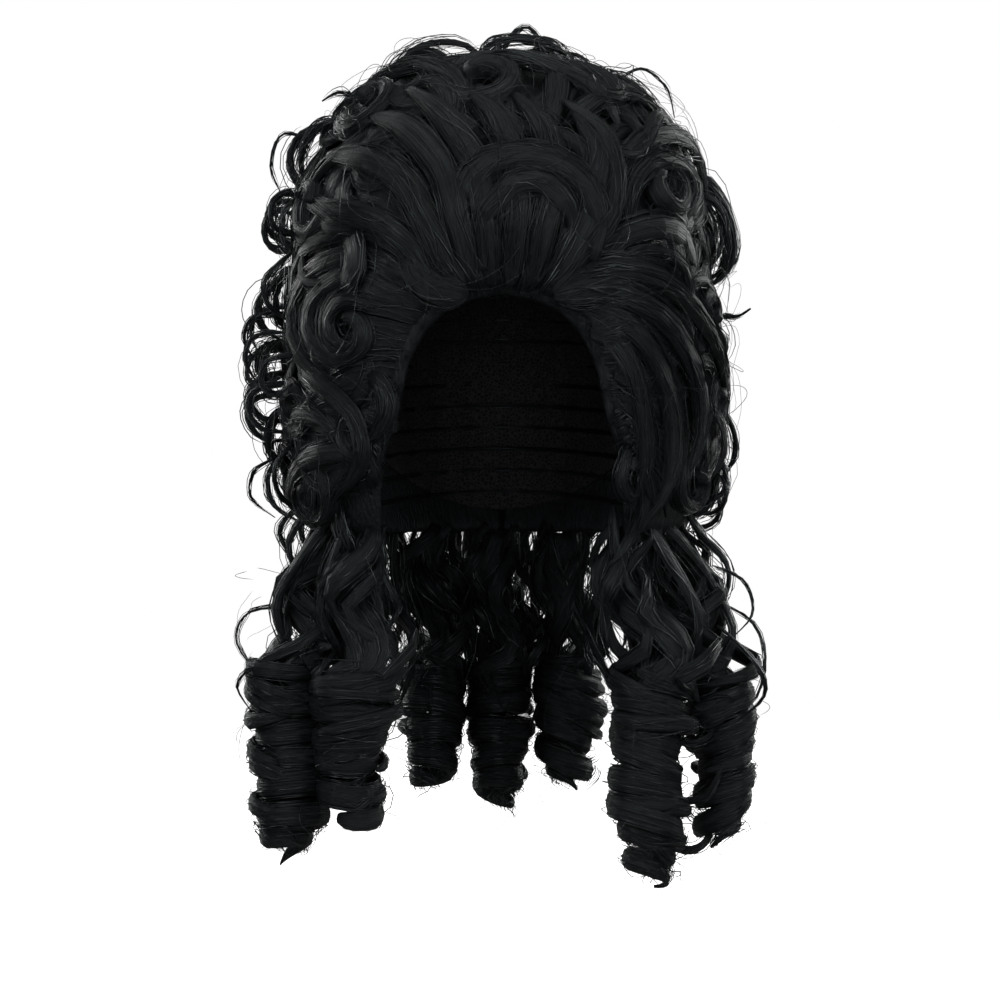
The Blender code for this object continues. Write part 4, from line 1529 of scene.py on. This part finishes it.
def softMass():
    """The CAD's mass with its edges softened, as packed hair."""
    source = cadNode("hair_mass")
    obj = bpy.data.objects.new("soft mass", source.data.copy())
    obj.matrix_world = source.matrix_world
    bpy.context.scene.collection.objects.link(obj)
    remesh = obj.modifiers.new("even", "REMESH")
    remesh.mode = "VOXEL"
    remesh.voxel_size = massLook["voxel"]
    smooth = obj.modifiers.new("soft", "SMOOTH")
    smooth.iterations = massLook["smoothing"]
    smooth.factor = massLook["smoothShare"]
    finished = evaluatedMesh(obj)
    bpy.data.objects.remove(obj)
    places = np.empty(len(finished.vertices) * 3, np.float32)
    finished.vertices.foreach_get("co", places)
    x, y, z = places.reshape(-1, 3).T
    flow = np.stack([z, np.arctan2(x, -y) * massLook["flowSpread"], np.hypot(x, y)], -1)
    attributeOn(finished, "flow", "FLOAT_VECTOR", flow)
    finished.shade_smooth()
    finished.materials.clear()
    finished.materials.append(packedHair)
    return finished


hairlineLook = {
    "strands": 10,
    "strandRadius": 0.00030,
    "frizz": 0.0006,
    "stray": 1.2,
    "twist": 2.0,
    "core": 0.55,
    "looseEnds": 0.25,
    "body": 0.70,
    "sides": 6,
    "locks": 54,
    "steps": 9,
    "lipSteps": 6,
    "halfWidth": 0.0062,
    "halfThickness": 0.0028,
    "clear": 0.002,
    "slopeStep": 0.004,
    # off the edge, and behind or before the head there
    "rootAway": 0.001,
    "rootBehind": 0.006,
    "lipAway": 0.002,
    "overAway": 0.010,
    "overDepth": -0.080,
    "length": (0.035, 0.060),
    "bend": 14,
    "bendRight": -16,
    "bendLeft": 10,
    "raised": 0.003,
    "rise": 0.004,
}


def faceOutline():
    """The edge of the face opening from foot to foot, as across and up, and its running length."""
    fall = wig["massDrop"] - wig["hairlineDrop"]
    depth, half = faceArch[:-1, 0], faceArch[:-1, 1]
    edge = np.stack([half * wig["faceWidth"] / 2, -wig["hairlineDrop"] - depth * fall], -1)
    edge = edge[edge[:, 1] > -wig["massDrop"] + 0.004]
    outline = np.concatenate([edge[::-1] * (-1, 1), edge[1:]])
    steps = np.linalg.norm(np.diff(outline, axis=0), axis=1)
    return outline, np.concatenate([[0], np.cumsum(steps)])


def hairlineGuide(edge, away):
    """A lock from the head at the edge, over the lip and on along the mass."""
    look = hairlineLook

    def placeAt(offset, y):
        x, z = edge + away * offset
        return np.array([x, y, z])

    share = float(headShare(edge[1]))
    inside = 1 - (edge[0] / ((wig["headWidth"] / 2 + look["clear"]) * share)) ** 2
    headFront = -(wig["headLength"] / 2 + look["clear"]) * share * math.sqrt(max(inside, 0.02))
    root = placeAt(look["rootAway"], headFront + look["rootBehind"])
    over = placeAt(look["overAway"], look["overDepth"])
    over = dropped(over) if over[2] < 0.07 else over
    lip = placeAt(look["lipAway"], over[1] - look["clear"])
    t = np.linspace(0, 1, look["lipSteps"] + 1)[:, None]
    onto = over + tangents(over)[2] * look["raised"]
    first = root * (1 - t) ** 2 + lip * 2 * t * (1 - t) + onto * t ** 2

    # On the right the hair is combed down and outwards, on the left up and over the roll.
    lean = 0.9 * away[0] if edge[0] > 0 else -0.35
    heading = np.array([math.atan2(away[1], away[0]) - lean])
    length = np.array([draws.uniform(*look["length"])])
    bend = draws.uniform(-look["bend"], look["bend"]) + look["bendRight" if edge[0] > 0.01 else "bendLeft"]
    path = walk(dropped(over)[None], heading, lambda _: np.array([bend]), length, look["steps"])[0]
    outs = tangents(path)[2]
    rise = look["raised"] + look["rise"] * np.sin(np.pi * np.linspace(0, 1, len(path)))
    at = np.concatenate([first[:-1], path + outs * rise[:, None]])

    # Over the lip the lock's back faces the face.
    lifts = np.concatenate([np.repeat(outs[:1], look["lipSteps"], 0), outs])
    mix = np.clip(np.arange(len(at)) / look["lipSteps"], 0, 1)[:, None]
    lifts = unit(lifts * mix + np.array([-away[0], 0, -away[1]]) * (1 - mix))
    full = fullness(np.linspace(0, 1, len(at)), 0.6, 0.25)
    return facingGuide(at, lifts, look["halfWidth"] * full, look["halfThickness"] * full)


def hairlineGuides():
    """Locks that rise from the cap's front edge and roll over onto the mass, all round the face."""
    outline, lengths = faceOutline()

    def edgeAt(s):
        return np.array([np.interp(s, lengths, outline[:, k]) for k in (0, 1)])

    guides = []
    n, step = hairlineLook["locks"], hairlineLook["slopeStep"]
    for i in range(n):
        s = lengths[-1] * (i + 0.5 + draws.uniform(-0.3, 0.3)) / n
        along = unit(edgeAt(s + step) - edgeAt(s - step))
        guides.append(hairlineGuide(edgeAt(s), np.array([-along[1], along[0]])))
    return guides


growPiece("hairMass", hairlineGuides(), hairlineLook, ["hair_mass"], base=softMass())
print("mass and hairline grown")

# ---- fringe of loose ends under the mass ----

fringeLook = {
    "strands": 14,
    "strandRadius": 0.00028,
    "frizz": 0.0014,
    "stray": 2.4,
    "twist": 4.0,
    "core": 0.35,
    "looseEnds": 0.40,
    "body": 0.34,
    "sides": 6,
    "locks": 64,
    "steps": 12,
    "halfWidth": 0.0085,
    "halfThickness": 0.0042,
    "length": (0.030, 0.078),
    "longerBehind": 0.45,
    "waves": (0.8, 1.5),
    "swing": 0.011,
    "tuck": 0.10,
    "firstAzimuth": 50,
    "arc": 260,
    "bunching": 0.08,
    "high": 0.022,
    "clear": 0.004,
}


def fringeGuides():
    """Wavy ends that hang from the foot of the mass, between the ringlets."""
    look = fringeLook
    guides = []
    t = np.linspace(0, 1, look["steps"] + 1)
    full = fullness(t, 0.7, 0.15)
    foot = -wig["massDrop"]
    high = foot + look["high"]
    for i in range(look["locks"]):
        place = (i + draws.uniform(0.2, 0.8)) / look["locks"]
        bunched = place + look["bunching"] * math.sin(2 * math.pi * place)
        azimuth = math.radians(look["firstAzimuth"] + look["arc"] * bunched)
        share = draws.uniform(0.25, 1.0)
        inner = headPoint(azimuth, foot, look["clear"])
        start = between(inner, ringPoint(azimuth, high, *sectionAt(high)), share)
        start[2] = high if share > 0.8 else foot + look["clear"]
        longer = 1 + look["longerBehind"] * max(0.0, -math.cos(azimuth))
        length = draws.uniform(*look["length"]) * longer
        wave = draws.uniform(0, 2 * math.pi) + 2 * np.pi * draws.uniform(*look["waves"]) * t
        wobble = look["swing"] * t * draws.uniform(0.6, 1.2)
        out = np.array([math.sin(azimuth), -math.cos(azimuth), 0])
        along = np.array([math.cos(azimuth), math.sin(azimuth), 0])
        at = (
            start
            + np.array([0, 0, -1]) * (length * t)[:, None]
            + along * (wobble * np.sin(wave))[:, None]
            + out * (wobble * np.cos(wave) - look["tuck"] * length * t * t)[:, None]
        )
        guides.append(facingGuide(at, out, look["halfWidth"] * full, look["halfThickness"] * full))
    return guides


growPiece("looseEnds", fringeGuides(), fringeLook)
print("loose ends grown")

# ---- cap ----

capLook = {
    "tones": ((0.02, (0.020, 0.020, 0.022)), (0.20, (0.004, 0.004, 0.005))),
    "cells": 520.0,
    "bump": 0.6,
    "bumpDistance": 0.0006,
    "roughness": 0.85,
    "specular": 0.2,
}


def capMaterial():
    """Black net cloth of the cap."""
    material, tree = newMaterial("cap net")
    cells = nodeIn(
        tree, "ShaderNodeTexVoronoi", {"Vector": objectPlace(tree), "Scale": capLook["cells"]},
        feature="DISTANCE_TO_EDGE",
    ).outputs[0]
    bump = nodeIn(tree, "ShaderNodeBump", {
        "Height": cells, "Strength": capLook["bump"], "Distance": capLook["bumpDistance"],
    }).outputs[0]
    surfaceWith(tree, {
        "Base Color": rampIn(tree, cells, capLook["tones"]),
        "Roughness": capLook["roughness"],
        "Specular IOR Level": capLook["specular"],
        "Normal": bump,
    })
    return material


capNet = capMaterial()
for capSlot in cadNode("wig_cap").material_slots:
    capSlot.material = capNet

weftLook = {
    "strands": 3,
    "strandRadius": 0.00022,
    "frizz": 0.0002,
    "stray": 0.0,
    "twist": 6.0,
    "core": 0.5,
    "looseEnds": 0.02,
    "body": 0.85,
    "sides": 6,
    "rows": 11,
    "lowest": -0.142,
    "spacing": 0.0115,
    "columns": 28,
    "firstAzimuth": 72,
    "arc": 216,
    "sag": 0.0035,
    "halfWidth": 0.0013,
    "halfThickness": 0.0005,
    "clear": 0.0001,
}


def weftGuides():
    """Rows of stitched weft inside the cap, from ear to ear round the back."""
    look = weftLook
    guides = []
    azimuth = np.radians(look["firstAzimuth"] + look["arc"] * np.linspace(0, 1, look["columns"]))
    for row in range(look["rows"]):
        z = look["lowest"] + row * look["spacing"] + look["sag"] * np.cos(azimuth * 2)
        at = headPoint(azimuth, z, -look["halfThickness"] - look["clear"])
        guides.append(facingGuide(at, unit(at * (1, 1, 0)), look["halfWidth"], look["halfThickness"]))
    return guides


growPiece("capWefts", weftGuides(), weftLook)
print("cap finished")

# ---- stage ----

stageLook = {
    "floorHeight": -0.420,
    "floorRadius": 3.0,
    "floorTones": ((0.3, (0.88, 0.88, 0.88)), (0.7, (0.92, 0.92, 0.92))),
    "world": 0.17,
    "white": 1.0,
    "aim": (0, 0, -0.12),
}


def makeFloor():
    mesh = bpy.data.meshes.new("floor")
    shape = bmesh.new()
    bmesh.ops.create_circle(shape, cap_ends=True, segments=96, radius=stageLook["floorRadius"])
    bmesh.ops.translate(shape, verts=shape.verts, vec=(0, 0, stageLook["floorHeight"]))
    shape.to_mesh(mesh)
    shape.free()
    floor = bpy.data.objects.new("floor", mesh)
    bpy.context.scene.collection.objects.link(floor)
    material, tree = newMaterial("pale floor")
    surfaceWith(tree, {
        "Base Color": rampIn(tree, noiseIn(tree, objectPlace(tree), 3.0, 2.0), stageLook["floorTones"]),
        "Roughness": 0.9,
        "Emission Color": (1, 1, 1, 1),
        "Emission Strength": 1.0,
    })
    mesh.materials.append(material)
    floor.visible_glossy = False
    floor.visible_diffuse = False
    floor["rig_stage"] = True


def makeWorld():
    world = bpy.data.worlds.new("studio")
    bpy.context.scene.world = world
    world.use_nodes = True
    tree = world.node_tree
    tree.nodes.clear()
    seen = nodeIn(tree, "ShaderNodeLightPath").outputs["Is Camera Ray"]
    strength = nodeIn(tree, "ShaderNodeMapRange", {
        "Value": seen, "To Min": stageLook["world"], "To Max": stageLook["white"],
    }).outputs[0]
    back = nodeIn(tree, "ShaderNodeBackground", {"Color": (1, 1, 1, 1), "Strength": strength})
    nodeIn(tree, "ShaderNodeOutputWorld", {"Surface": back.outputs[0]})


lights = (
    # name, place, size, power
    ("keyLeft", (-1.5, -1.8, 0.7), 1.0, 26.0),
    ("keyRight", (1.6, -1.7, 0.5), 1.0, 24.0),
    ("overhead", (0.0, -0.2, 1.8), 1.4, 15.0),
    ("frontLow", (0.0, -2.7, -0.3), 1.4, 20.0),
    ("backLeft", (-1.5, 1.6, 0.5), 1.0, 20.0),
    ("backRight", (1.5, 1.6, 0.5), 1.0, 20.0),
)


def makeLights():
    for name, place, size, power in lights:
        data = bpy.data.lights.new(name, "AREA")
        data.size = size
        data.energy = power
        lamp = bpy.data.objects.new(name, data)
        lamp.location = place
        aim = Vector(stageLook["aim"]) - Vector(place)
        lamp.rotation_euler = aim.to_track_quat("-Z", "Y").to_euler()
        bpy.context.scene.collection.objects.link(lamp)


camera = {"place": (-0.001, -2.0, -0.143), "sensor": 36, "seenWidth": 0.51}


def makeCamera():
    """A camera straight before the wig that sees the given width of it."""
    data = bpy.data.cameras.new("camera")
    data.sensor_width = camera["sensor"]
    data.lens = camera["sensor"] * -camera["place"][1] / camera["seenWidth"]
    made = bpy.data.objects.new("camera", data)
    made.location = camera["place"]
    made.rotation_euler = (math.pi / 2, 0, 0)
    bpy.context.scene.collection.objects.link(made)
    bpy.context.scene.camera = made


makeFloor()
makeWorld()
makeLights()
makeCamera()
bpy.context.scene.view_settings.view_transform = "Standard"
print("stage set")

triangles = {}
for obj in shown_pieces():
    obj.data.calc_loop_triangles()
    triangles[obj.name] = len(obj.data.loop_triangles)
largest = sorted(triangles.items(), key=lambda item: -item[1])[:5]
print("triangles in all:", sum(triangles.values()), "largest:", largest)

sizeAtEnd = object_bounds()


def plain(value):
    return float(value) if isinstance(value, (int, float)) else [plain(v) for v in value]


{"load": plain(sizeAtLoad), "end": plain(sizeAtEnd)}
print("bounds at load", plain(sizeAtLoad), "at end", plain(sizeAtEnd))
